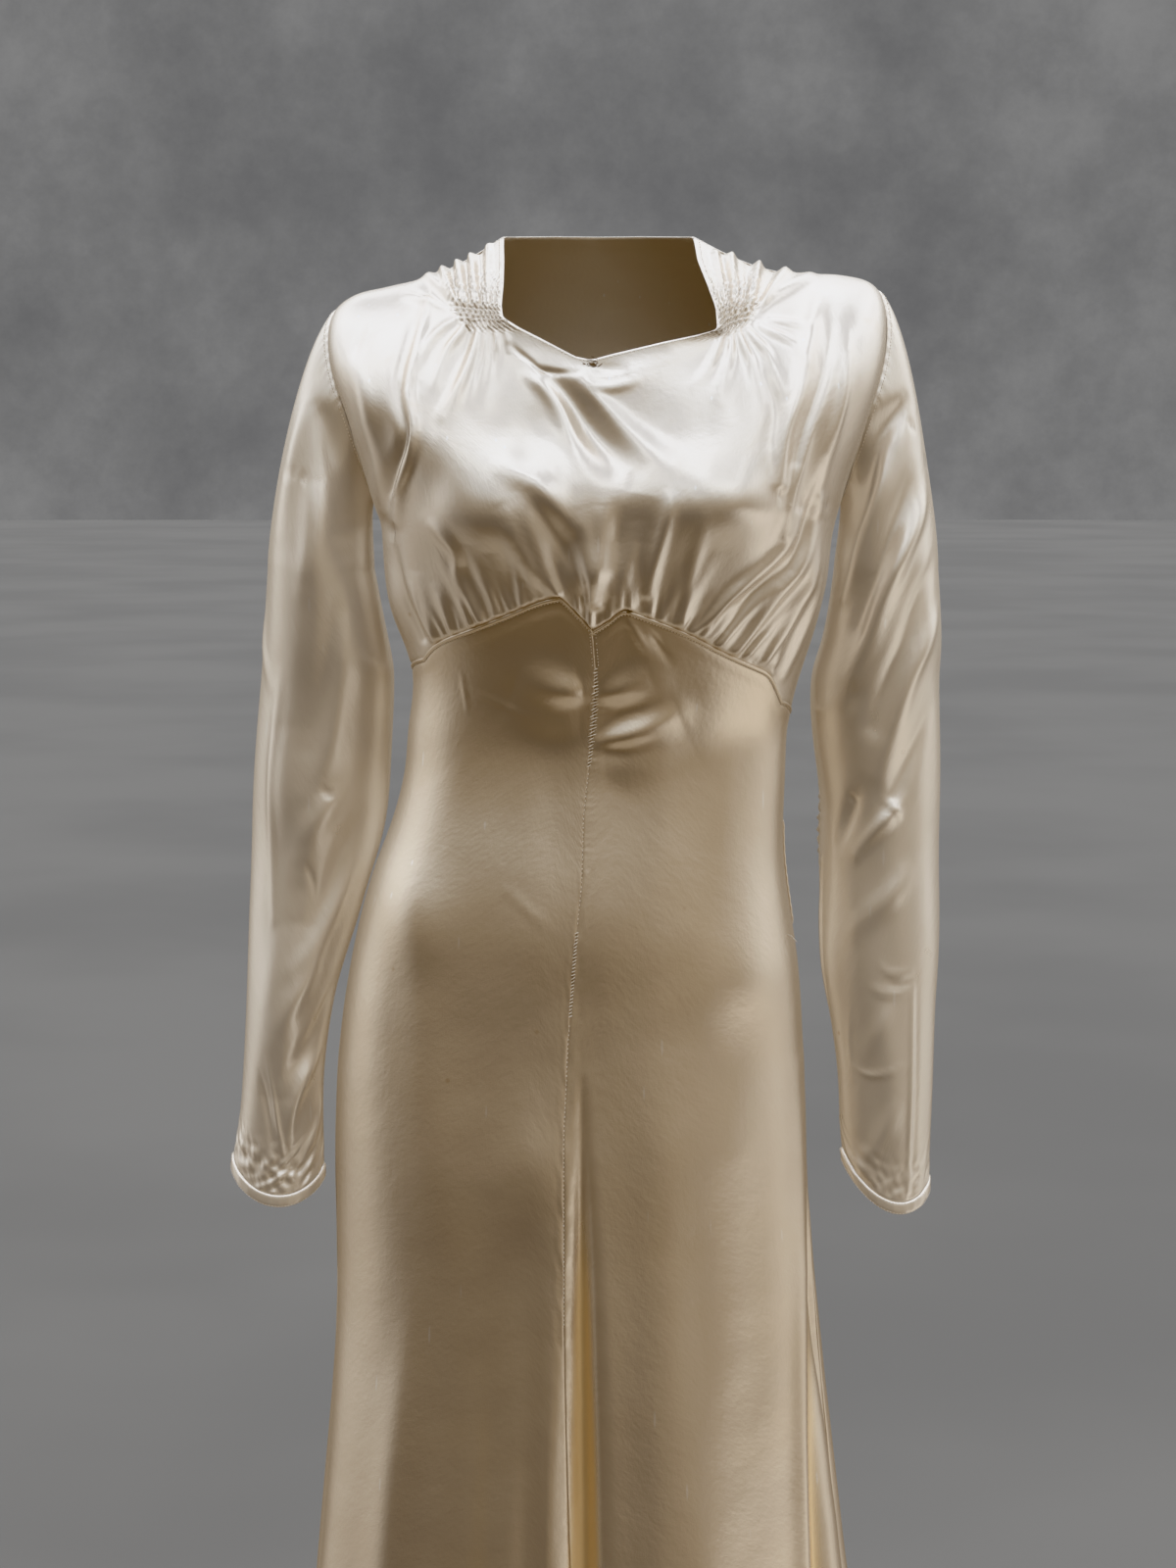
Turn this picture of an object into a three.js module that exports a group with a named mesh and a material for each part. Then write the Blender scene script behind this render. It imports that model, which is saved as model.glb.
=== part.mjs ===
// A floor-length satin wedding dress with long narrow sleeves, in the hollow form it takes when worn.
// Millimetres, +Z up, the front faces -Y and the wearer's left is +X.
// The origin is at shoulder height, midway between the neck points, where the wearer carries the dress.
import * as THREE from "three";

// ---- driving sizes ----
const WALL = 2;
const SEAM_GAP = 0.3;
const HEM = -1400;
const ARMPIT = 4;          // ring number of the armpit
const SHOULDER = 2;        // ring number of the shoulder tip
const SIDE = 90;           // side and shoulder seams, degrees from centre front
const ARMHOLE_FRONT = 17;  // how far the armhole cuts into the front, degrees
const ARMHOLE_BACK = 19;
const MITRE_LIMIT = 1.6;
const SEAM_DROP = 0.21;    // how far a wall stops above or below the underbust and waist seams
const FOLDS_END = -330;    // the folds of the bodice have died away by this height
const SATIN = { color: 0xe9dccb, roughness: 0.34, metalness: 0.05 };

// ---- small helpers ----
const table = (columns, rows) =>
  rows.map((row) => Object.fromEntries(columns.map((name, i) => [name, row[i]])));
const mix = (a, b, f) => a + (b - a) * f;
const rad = THREE.MathUtils.degToRad;
const bell = (x) => Math.exp(-x * x);
const smooth = (x) => THREE.MathUtils.smoothstep(x, 0, 1);
const spread = (from, to, count) => Array.from({ length: count + 1 }, (_, i) => mix(from, to, i / count));
const sorted = (list) => {
  const ordered = [...list].sort((a, b) => a - b);
  return ordered.filter((value, i) => i === 0 || value - ordered[i - 1] > 1e-6);
};

// Value of one column of a table at x, straight between rows; the key column rises.
function along(rows, key, column, x) {
  let i = 1;
  while (i < rows.length - 1 && rows[i][key] < x) i += 1;
  const [a, b] = [rows[i - 1], rows[i]];
  return mix(a[column], b[column], THREE.MathUtils.clamp((x - a[key]) / (b[key] - a[key]), 0, 1));
}

// Catmull-Rom through evenly numbered values, f from b to c.
function catmull(a, b, c, d, f) {
  const f2 = f * f;
  const f3 = f2 * f;
  return 0.5 * (2 * b + (c - a) * f + (2 * a - 5 * b + 4 * c - d) * f2 + (3 * b - a - 3 * c + d) * f3);
}

// ---- the worn form: rings from the neckline to the hem ----
// angle is in degrees from centre front, positive towards the wearer's left.
const NECKLINE = table(["angle", "x", "y", "z"], [
  [-180, 2, 54, -1],
  [-145, -30, 47, -1],
  [-115, -54, 27, -2],
  [-90, -62, 5, -3],
  [-78, -61, -14, -20],
  [-66, -61, -33, -36],
  [-55, -62, -51, -50],
  [-47, -61, -61, -58],
  [-38, -50, -68, -65],
  [-25, -34, -74, -73],
  [-10, -13, -79, -84],
  [0, -3, -80, -86],
  [12, 12, -79, -82],
  [30, 46, -74, -74],
  [40, 66, -69, -70],
  [47, 80, -62, -66],
  [56, 79, -48, -51],
  [66, 74, -32, -36],
  [78, 68, -13, -19],
  [90, 66, 5, -3],
  [115, 57, 27, -2],
  [145, 34, 47, -1],
  [180, 2, 54, -1],
]);

// Heights at centre front, side and centre back, centre, half width, depths, squareness, sideways lean.
const RINGS = table(
  ["front", "side", "back", "x", "y", "half", "deepFront", "deepBack", "square", "lean"], [
  [-112, -29, -38, 6, 6, 122, 92, 72, 2.4, 2],
  [-138, -45, -86, 8, 6, 182, 106, 92, 2.4, 6],
  [-157, -112, -135, 8, 3, 179, 117, 98, 2.4, 0],
  [-180, -180, -180, 8, 0, 157, 123, 99, 2.3, 0],
  [-216, -216, -216, 8, 0, 150, 119, 94, 2.3, 0],
  [-254, -254, -254, 8, 0, 143, 108, 85, 2.3, 0],
  [-292, -292, -292, 8, 0, 132, 97, 76, 2.3, 0],
  [-330, -330, -330, 2, 0, 129, 90, 70, 2.3, 0],
  [-368, -368, -368, -1, 0, 130, 92, 74, 2.3, 0],
  [-408, -408, -408, -7, 0, 135, 99, 86, 2.3, 0],
  [-450, -450, -450, -12, 0, 144, 105, 100, 2.3, 0],
  [-509, -509, -509, -15, 0, 155, 109, 108, 2.3, 0],
  [-578, -578, -578, -17, 0, 161, 113, 108, 2.3, 0],
  [-650, -650, -650, -16, 0, 164, 119, 106, 2.3, 0],
  [-740, -740, -740, -13, 0, 168, 126, 108, 2.3, 0],
  [-860, -860, -860, -11, 0, 178, 135, 116, 2.3, 0],
  [-1020, -1020, -1020, -9, 0, 195, 149, 135, 2.2, 0],
  [-1210, -1210, -1210, -8, 0, 219, 168, 162, 2.2, 0],
  [HEM, HEM, HEM, -8, 0, 246, 190, 192, 2.2, 0],
]);

// Soft fullness over the bust: place on the front, spread and height.
const FULLNESS = table(["x", "z", "wide", "tall", "height"], [
  [-66, -176, 44, 34, 9],
  [82, -176, 44, 34, 9],
]);

// Folds of the front bodice, each a bent line; troughs have a negative height.
const BODICE_FOLDS = table(["x0", "z0", "x1", "z1", "x2", "z2", "width", "height"], [
  [-28, -99, -5, -127, 20, -156, 9, -5],
  [-45, -100, -21, -128, -2, -156, 8, 3],
  [-9, -105, 12, -131, 44, -152, 9, 4],
  [3, -93, 6, -93, 9, -94, 7, -5],
  [-105, -183, -92, -206, -85, -246, 7, -3],
  [-53, -173, -35, -207, -20, -240, 7, 3],
  [3, -173, 1, -207, -1, -246, 7, 3],
  [45, -188, 37, -217, 28, -243, 8, 3],
  [148, -52, 131, -103, 124, -172, 7, 4],
  [166, -70, 151, -141, 132, -209, 6, 3],
  [132, -209, 110, -234, 89, -250, 6, 3],
  [144, -219, 123, -242, 105, -260, 6, 3],
  [-106, -52, -119, -130, -129, -186, 7, 4],
  [-128, -70, -126, -92, -125, -117, 6, 2],
  [-95, -54, -103, -86, -109, -124, 5, 3],
  [-85, -58, -88, -90, -91, -126, 5, 2.5],
  [-76, -61, -77, -92, -76, -122, 5, 3],
  [-67, -63, -63, -92, -56, -124, 5, 2.5],
  [87, -67, 84, -94, 80, -126, 5, 2.5],
  [95, -64, 98, -94, 100, -128, 5, 3],
  [104, -60, 112, -90, 117, -120, 5, 3],
  [113, -55, 124, -82, 134, -106, 5, 2.5],
]);

// Gathers let into the underbust seam: foot, sideways lean for each mm of height, length, height.
const GATHERS = table(["foot", "lean", "length", "height"], [
  [-103, -0.35, 40, 2.2],
  [-91, -0.35, 30, 1.6],
  [-81, -0.35, 46, 2.4],
  [-73, -0.35, 34, 1.8],
  [-63, -0.36, 44, 2.4],
  [-54, -0.3, 36, 2],
  [-45, -0.25, 50, 2.4],
  [-35, -0.3, 34, 1.8],
  [-24, -0.35, 60, 2.4],
  [-12, -0.1, 40, 1.8],
  [-3, 0.05, 70, 2.4],
  [7, 0.1, 46, 2],
  [16, 0.15, 52, 2.4],
  [24, 0.1, 40, 2],
  [33, 0.1, 50, 2.2],
  [43, 0.3, 36, 1.8],
  [52, 0.5, 44, 2.2],
  [62, 0.9, 50, 2.4],
  [70, 0.8, 34, 1.8],
  [79, 0.9, 44, 2.4],
  [88, 0.8, 32, 1.8],
  [97, 0.85, 46, 2.4],
  [107, 0.6, 34, 2],
  [115, 0.5, 40, 2],
]);
const GATHER_WIDTH = 2.6;

// Shirring at each side of the neckline: the angle of its middle at the neck edge and its drift outwards.
const SHIRRING = table(["angle", "drift"], [[-48, -17], [48, 16]]);
const PUFF = { from: 0.03, step: 0.08, count: 9, height: 2.2 };
const STITCH_ROW = { step: 2.7, count: 4 };
// Degrees over which the pleats die away past the shirring, towards the shoulder and the centre.
const PLEAT_FADE = { shoulder: 17, centre: 4 };

// Soft waves of the skirt: angle, spread, where they start, and how deep they are at the hem.
const SKIRT_WAVES = table(["angle", "spread", "start", "depth"], [
  [-8, 7, -600, -26],
  [-21, 9, -520, 13],
  [24, 16, -560, 10],
  [47, 11, -760, -18],
  [66, 10, -640, 16],
  [85, 7, -560, -24],
  [104, 12, -620, 20],
  [128, 11, -700, -20],
  [152, 14, -600, 18],
  [178, 12, -660, -20],
  [205, 14, -600, 18],
  [230, 11, -720, -20],
  [254, 12, -620, 18],
  [275, 8, -600, -18],
  [294, 11, -700, 14],
  [315, 12, -820, -18],
]);

// Centre front seam, and the pointed underbust seam that runs from side to side.
const CENTRE_SEAM = table(["down", "x"], [
  [261, -2], [285, 0], [315, -1], [347, -4], [383, -8], [425, -9], [464, -13], [529, -18], [592, -21],
  [718, -21], [1000, -17], [1400, -14],
]);
const UNDERBUST = table(["x", "z"], [
  [-114, -283], [-103, -271], [-81, -261], [-55, -250], [-36, -242], [-23, -239], [-2, -261], [9, -254],
  [17, -248], [24, -249], [40, -255], [61, -264], [81, -275], [105, -287], [116, -295], [124, -312],
]);
const SIDE_SEAM_TOP = { right: -293, left: -324 };
const SEAM_POINT = UNDERBUST[6];  // the downward point of the underbust seam at the centre front

function neckline(angle) {
  let i = 1;
  while (i < NECKLINE.length - 2 && NECKLINE[i + 1].angle < angle) i += 1;
  if (angle < NECKLINE[1].angle) i = 0;
  const b = NECKLINE[i];
  const c = NECKLINE[i + 1];
  const f = (angle - b.angle) / (c.angle - b.angle);
  return new THREE.Vector3(mix(b.x, c.x, f), mix(b.y, c.y, f), mix(b.z, c.z, f));
}

function ring(number, angle) {
  if (number === 0) return neckline(angle);
  const r = RINGS[Math.min(number, RINGS.length) - 1];
  const s = Math.sin(rad(angle));
  const c = Math.cos(rad(angle));
  const reach = (Math.abs(s) ** r.square + Math.abs(c) ** r.square) ** (-1 / r.square);
  const [deep, centre] = c > 0 ? [r.deepFront, r.front] : [r.deepBack, r.back];
  return new THREE.Vector3(
    r.x + r.half * reach * s,
    r.y - deep * reach * c,
    r.side + (centre - r.side) * Math.abs(c) ** 1.5 + r.lean * s,
  );
}

// Point of the loft through the rings; level is a ring number with its fraction.
function loft(angle, level) {
  const i = Math.min(Math.floor(level), RINGS.length - 1);
  const f = level - i;
  const b = ring(i, angle);
  const c = ring(i + 1, angle);
  const a = i > 0 ? ring(i - 1, angle) : b.clone().multiplyScalar(2).sub(c);
  const d = i + 2 <= RINGS.length ? ring(i + 2, angle) : c.clone().multiplyScalar(2).sub(b);
  return new THREE.Vector3(
    catmull(a.x, b.x, c.x, d.x, f), catmull(a.y, b.y, c.y, d.y, f), catmull(a.z, b.z, c.z, d.z, f));
}

// Ring number at a height below the armpit, where the rings are level.
function levelAt(z) {
  let low = ARMPIT;
  let high = RINGS.length;
  for (let k = 0; k < 40; k += 1) {
    const middle = (low + high) / 2;
    if (loft(0, middle).z > z) low = middle;
    else high = middle;
  }
  return (low + high) / 2;
}

// Angle at which the form passes a given x on its front, at a height below the armpit.
function angleAt(x, z) {
  const level = levelAt(z);
  let low = -SIDE;
  let high = SIDE;
  for (let k = 0; k < 40; k += 1) {
    const middle = (low + high) / 2;
    if (loft(middle, level).x < x) low = middle;
    else high = middle;
  }
  return (low + high) / 2;
}

// Height of a bent fold at a point of the front: full at its middle, fading at its ends.
function foldHeight(fold, x, z) {
  const length = Math.hypot(fold.x2 - fold.x0, fold.z2 - fold.z0) || 1;
  const ux = (fold.x2 - fold.x0) / length;
  const uz = (fold.z2 - fold.z0) / length;
  const f = THREE.MathUtils.clamp(((x - fold.x0) * ux + (z - fold.z0) * uz) / length, 0, 1);
  const bend = 4 * f * (1 - f);
  const cx = mix(fold.x0, fold.x2, f) + bend * (fold.x1 - (fold.x0 + fold.x2) / 2);
  const cz = mix(fold.z0, fold.z2, f) + bend * (fold.z1 - (fold.z0 + fold.z2) / 2);
  return fold.height * (0.35 + 0.65 * bend) * bell(Math.hypot(x - cx, z - cz) / fold.width);
}

function waveHeight(wave, angle, z) {
  const turn = THREE.MathUtils.euclideanModulo(angle - wave.angle + 180, 360) - 180;
  const grown = THREE.MathUtils.clamp((wave.start - z) / (wave.start - HEM), 0, 1) ** 1.3;
  return wave.depth * grown * bell(turn / wave.spread);
}

// The cloth's surface with its larger folds.
function cloth(angle, level) {
  const p = loft(angle, level);
  const out = new THREE.Vector3(Math.sin(rad(angle)), -Math.cos(rad(angle)), 0);
  let push = 0;
  if (level > ARMPIT) SKIRT_WAVES.forEach((wave) => { push += waveHeight(wave, angle, p.z); });
  if (Math.abs(angle) < SIDE && p.z > FOLDS_END) {
    const facing = smooth((SIDE - Math.abs(angle)) / 12);
    FULLNESS.forEach((f) => {
      push += facing * f.height * bell((p.x - f.x) / f.wide) * bell((p.z - f.z) / f.tall);
    });
    const settled = smooth(level / 0.6);
    BODICE_FOLDS.forEach((fold) => { push += facing * settled * foldHeight(fold, p.x, p.z); });
  }
  return p.addScaledVector(out, push);
}

function inwardNormal(point, angle, level) {
  const step = 0.02;
  const low = Math.max(level - step, 0);
  const high = Math.min(level + step, RINGS.length);
  const across = point(angle + 1, level).sub(point(angle - 1, level));
  const down = point(angle, high).sub(point(angle, low));
  return across.cross(down).normalize();
}

// Shirring and gathers stand on the outside only, over a plain inside.
function shirringRelief(angle, level) {
  const end = PUFF.from + PUFF.step * PUFF.count;
  if (level > end + PUFF.step || Math.abs(angle) > SIDE) return 0;
  const band = SHIRRING[angle < 0 ? 0 : 1];
  const b = angle - (band.angle + band.drift * level);
  const reach = STITCH_ROW.step * STITCH_ROW.count * 0.5;
  const inside = Math.abs(b) <= reach;
  const puffs = 0.5 - 0.5 * Math.cos(((level - PUFF.from) / PUFF.step) * 2 * Math.PI);
  const rows = inside ? 0.55 - 0.45 * Math.cos((b / STITCH_ROW.step) * 2 * Math.PI) : 0.8;
  const length = b * band.angle > 0 ? PLEAT_FADE.shoulder : PLEAT_FADE.centre;
  const fade = inside ? 1 : bell((Math.abs(b) - reach) / length);
  const ends = smooth(level / PUFF.from) * smooth((end + PUFF.step - level) / (2 * PUFF.step));
  return PUFF.height * puffs * rows * fade * ends;
}

function underbustHeight(angle) {
  return along(UNDERBUST_ANGLES, "angle", "z", angle);
}

function gatherRelief(p) {
  let height = 0;
  GATHERS.forEach((g) => {
    const above = p.z - g.z;
    if (above < -3 || above > g.length) return;
    const off = p.x - (g.foot + g.lean * Math.max(above, 0));
    height += g.height * (1 - above / g.length) ** 0.8 * bell(off / (GATHER_WIDTH * (1 + above / 30)));
  });
  return height;
}

// ---- walls ----
class Skin {
  constructor() {
    this.points = [];
    this.faces = [];
  }

  // A row of points with their places along it; a closed row returns to its first point.
  row(points, at, closed) {
    const ids = points.map((p) => this.points.push(p) - 1);
    return closed ? { ids: [...ids, ids[0]], at: [...at, 1] } : { ids, at };
  }

  strip(a, b) {
    let i = 0;
    let j = 0;
    while (i < a.ids.length - 1 || j < b.ids.length - 1) {
      const first = j === b.ids.length - 1 || (i < a.ids.length - 1 && a.at[i + 1] <= b.at[j + 1]);
      if (first) {
        this.faces.push(a.ids[i], a.ids[i + 1], b.ids[j]);
        i += 1;
      } else {
        this.faces.push(a.ids[i], b.ids[j + 1], b.ids[j]);
        j += 1;
      }
    }
  }

  geometry() {
    let volume = 0;
    for (let k = 0; k < this.faces.length; k += 3) {
      const [a, b, c] = this.faces.slice(k, k + 3).map((id) => this.points[id]);
      volume += a.dot(b.clone().cross(c));
    }
    if (volume < 0) this.faces.reverse();
    const geometry = new THREE.BufferGeometry();
    geometry.setFromPoints(this.points);
    geometry.setIndex(this.faces);
    geometry.computeVertexNormals();
    return geometry;
  }
}

// Closes an outer and an inner set of rows into one wall. Each row is {points, at, down}.
function wall(outer, inner, closed) {
  const skin = new Skin();
  const lay = (rows) => rows.map((r) => ({ ...skin.row(r.points, r.at, closed), down: r.down }));
  const out = lay(outer);
  const inn = lay(inner);
  for (let k = 0; k + 1 < out.length; k += 1) skin.strip(out[k], out[k + 1]);
  for (let k = 0; k + 1 < inn.length; k += 1) skin.strip(inn[k + 1], inn[k]);
  skin.strip(inn[0], out[0]);
  skin.strip(out.at(-1), inn.at(-1));
  if (!closed) {
    const edge = (rows, end) => ({ ids: rows.map((r) => r.ids.at(end)), at: rows.map((r) => r.down) });
    skin.strip(edge(out, 0), edge(inn, 0));
    skin.strip(edge(inn, -1), edge(out, -1));
  }
  return skin.geometry();
}

// Draws the two ends of each row in, so that the piece stops short of its seam.
function drawIn(rows) {
  const half = SEAM_GAP / 2;
  rows.forEach((r) => {
    const last = r.points.length - 1;
    const left = r.points[1].clone().sub(r.points[0]).setLength(half);
    const right = r.points[last - 1].clone().sub(r.points[last]).setLength(half);
    r.points[0].add(left);
    r.points[last].add(right);
  });
  return rows;
}

function mesh(name, geometry) {
  const piece = new THREE.Mesh(geometry, new THREE.MeshStandardMaterial(SATIN));
  piece.name = name;
  return piece;
}

// ---- armholes and sleeves ----
const ARMHOLE_LEVELS = [2, 2.14, 2.34, 2.6, 2.9, 3.2, 3.5, 3.74, 3.9, 4];
const CAP_ROWS = 7;
const SLEEVE_ROWS = 14;
const CUFF_DEPTH = 8;

// Rings of the two sleeves: height, centre, half width and half depth.
const RIGHT_SLEEVE = table(["z", "x", "y", "half", "deep"], [
  [-226, -186, 2, 36, 52],
  [-272, -183, 3, 42, 52],
  [-300, -182, 5, 45, 51],
  [-340, -185, 7, 46, 50],
  [-380, -188, 7, 46, 50],
  [-410, -191, 5, 44, 48],
  [-441, -196, 1, 40, 46],
  [-466, -200, -3, 37, 44],
  [-495, -205, -8, 33, 41],
  [-523, -209, -13, 30, 38],
  [-567, -213, -20, 28, 34],
  [-605, -215, -25, 29, 30],
  [-631, -217, -28, 31, 28],
  [-672, -218, -32, 32, 28],
]);
const LEFT_SLEEVE = table(["z", "x", "y", "half", "deep"], [
  [-226, 197, 2, 35, 52],
  [-272, 195, 3, 40, 52],
  [-300, 191, 5, 43, 51],
  [-340, 192, 7, 43, 50],
  [-380, 195, 7, 41, 50],
  [-410, 195, 5, 41, 48],
  [-441, 195, 1, 41, 46],
  [-466, 195, -3, 41, 44],
  [-495, 195, -8, 40, 41],
  [-523, 196, -13, 37, 38],
  [-567, 198, -20, 33, 34],
  [-605, 198, -25, 31, 30],
  [-631, 199, -28, 29, 28],
  [-672, 200, -32, 28, 28],
]);
// Lower edge of a cuff: its height at the sides, its dip over the back of the hand, its drop to the outside.
const RIGHT_CUFF = { z: -636, dip: 18, slant: -4 };
const LEFT_CUFF = { z: -638, dip: 20, slant: 9 };

// Folds of the sleeves: turn is 0 at the outside, 90 at the front, 180 at the body.
const SLEEVE_FOLDS = table(["turn0", "z0", "turn1", "z1", "width", "height"], [
  [62, -118, 128, -170, 13, -5],
  [128, -170, 122, -300, 14, -4],
  [48, -150, 88, -190, 12, -3],
  [88, -190, 96, -330, 13, -3],
  [30, -260, 60, -420, 14, 3],
  [150, -330, 70, -440, 13, 3],
  [140, -410, 60, -520, 12, -3],
  [250, -180, 280, -330, 16, 4],
  [215, -250, 250, -420, 14, -4],
  [300, -360, 230, -480, 14, 3],
]);

const armholeFront = (level) => SIDE - ARMHOLE_FRONT * Math.sin(Math.PI * (level - SHOULDER) / 2) ** 0.8;
const armholeBack = (level) => SIDE + ARMHOLE_BACK * Math.sin(Math.PI * (level - SHOULDER) / 2) ** 0.8;
// How a sleeve leaves its armhole and meets its first ring: under the arm, then at the shoulder.
const CAP = { out: [9, 56], forward: 8, fall: [14, 30], arrive: [24, 120] };
const FOLD_END = 22;  // height over which a sleeve's fold dies away past its end
const inArmhole = (level) => level > SHOULDER && level < ARMPIT;
const frontEdge = (level) => (inArmhole(level) ? armholeFront(level) : SIDE);
const backEdge = (level) => (inArmhole(level) ? armholeBack(level) : SIDE);

function sleeveFold(turn, z) {
  let push = 0;
  SLEEVE_FOLDS.forEach((fold) => {
    const f = THREE.MathUtils.clamp((z - fold.z0) / (fold.z1 - fold.z0), 0, 1);
    const centre = mix(fold.turn0, fold.turn1, f);
    const past = Math.max(fold.z1 - z, z - fold.z0, 0) / FOLD_END;
    push += fold.height * bell((turn - centre) / fold.width) * bell(past);
  });
  return push;
}

// Everything about one sleeve that its cap, its cuff and the bodice share.
function sleevePlan(side, rings, cuff) {
  const front = ARMHOLE_LEVELS.map((level) => ({ level, angle: side * armholeFront(level) }));
  const back = ARMHOLE_LEVELS.map((level) => ({ level, angle: side * armholeBack(level) })).reverse();
  const loop = [...front, ...back.slice(1, -1)];
  const rising = [...rings].reverse();
  const count = loop.length;
  const turns = loop.map((_, k) => (360 * k) / count);
  const bottom = (turn) =>
    cuff.z - cuff.dip * Math.max(Math.sin(rad(turn)), 0) ** 1.5 - cuff.slant * Math.cos(rad(turn));

  const limb = (turn, z) => {
    const half = along(rising, "z", "half", z) + sleeveFold(turn, z);
    const deep = along(rising, "z", "deep", z) + sleeveFold(turn, z);
    const x = along(rising, "z", "x", z) + side * half * Math.cos(rad(turn));
    const y = along(rising, "z", "y", z) - deep * Math.sin(rad(turn));
    return new THREE.Vector3(x, y, z);
  };
  const cap = (k, f) => {
    const start = cloth(loop[k].angle, loop[k].level);
    const top = (1 + Math.cos(rad(turns[k]))) / 2;
    const end = limb(turns[k], rings[0].z);
    const leave = new THREE.Vector3(
      side * mix(...CAP.out, top), -CAP.forward * Math.sin(rad(turns[k])), -mix(...CAP.fall, top));
    const arrive = new THREE.Vector3(0, 0, -mix(...CAP.arrive, top));
    const [f2, f3] = [f * f, f * f * f];
    return start.multiplyScalar(2 * f3 - 3 * f2 + 1)
      .addScaledVector(leave, f3 - 2 * f2 + f)
      .addScaledVector(end, 3 * f2 - 2 * f3)
      .addScaledVector(arrive, f3 - f2);
  };
  // Point of a column: 0 to 1 is the cap, 1 to 2 runs down to the cuff.
  const column = (k, v) => {
    const wrapped = (k + count) % count;
    if (v <= 1) return cap(wrapped, v);
    return limb(turns[wrapped], mix(rings[0].z, bottom(turns[wrapped]) + CUFF_DEPTH, v - 1));
  };
  const inward = (k, v) => {
    const step = 0.03;
    const down = column(k, Math.min(v + step, 2)).sub(column(k, Math.max(v - step, 0)));
    const round = column(k + 1, v).sub(column(k - 1, v));
    return down.cross(round).multiplyScalar(side).normalize();
  };
  // Where bodice and sleeve meet, both walls thicken along one shared direction.
  const mitres = loop.map(({ angle, level }, k) => {
    const both = inwardNormal(cloth, angle, level).add(inward(k, 0.02));
    const spreadOfBoth = Math.max(both.length() / 2, 1 / MITRE_LIMIT);
    return both.setLength(WALL / spreadOfBoth);
  });
  const mitreAt = (level, isFront) => {
    const k = ARMHOLE_LEVELS.findIndex((each) => Math.abs(each - level) < 1e-6);
    return k < 0 ? null : mitres[isFront ? k : (count - k) % count];
  };
  return { side, turns, bottom, limb, column, inward, mitres, mitreAt };
}

function sleeve(name, plan) {
  const levels = [...spread(0, 1, CAP_ROWS), ...spread(1, 2, SLEEVE_ROWS).slice(1)];
  const at = plan.turns.map((turn) => turn / 360);
  const outer = [];
  const inner = [];
  levels.forEach((v, n) => {
    const points = plan.turns.map((_, k) => plan.column(k, v));
    const inside = points.map((p, k) => {
      const thick = n === 0 ? plan.mitres[k].clone() : plan.inward(k, v).multiplyScalar(WALL);
      if (n === levels.length - 1) thick.setZ(0).setLength(WALL);
      return p.clone().add(thick);
    });
    outer.push({ points, at, down: v });
    inner.push({ points: inside, at, down: v });
  });
  [outer, inner].forEach((rows) => {
    rows[0].points.forEach((p, k) => p.add(rows[1].points[k].clone().sub(p).setLength(SEAM_GAP)));
    rows.at(-1).points.forEach((p) => { p.z += 2 * SEAM_GAP; });
  });
  return mesh(name, wall(outer, inner, true));
}

// The narrow self-fabric band that finishes a sleeve.
function cuff(name, plan) {
  const at = plan.turns.map((turn) => turn / 360);
  const shape = (grow) => [0, 0.5, 1].map((f) => ({
    points: plan.turns.map((turn) => {
      const z = plan.bottom(turn) + CUFF_DEPTH * (1 - f);
      const p = plan.limb(turn, z);
      const out = new THREE.Vector3(plan.side * Math.cos(rad(turn)), -Math.sin(rad(turn)), 0);
      return p.addScaledVector(out, grow + (f === 0.5 && grow > 0 ? 0.6 : 0));
    }),
    at,
    down: f,
  }));
  return mesh(name, wall(shape(0.4), shape(-WALL), true));
}

// ---- bodice ----
const UNDERBUST_ANGLES = [
  { angle: -SIDE, z: SIDE_SEAM_TOP.right },
  ...UNDERBUST.map(({ x, z }) => ({ angle: angleAt(x, z), z })),
  { angle: SIDE, z: SIDE_SEAM_TOP.left },
];
GATHERS.forEach((g) => { g.z = underbustHeight(angleAt(g.foot, -262)); });

// Rows of a bodice panel below the armpit end on its waist edge.
function levelToward(seamHeight, f) {
  return levelAt(mix(RINGS[ARMPIT - 1].side, seamHeight + SEAM_DROP, f));
}

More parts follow.
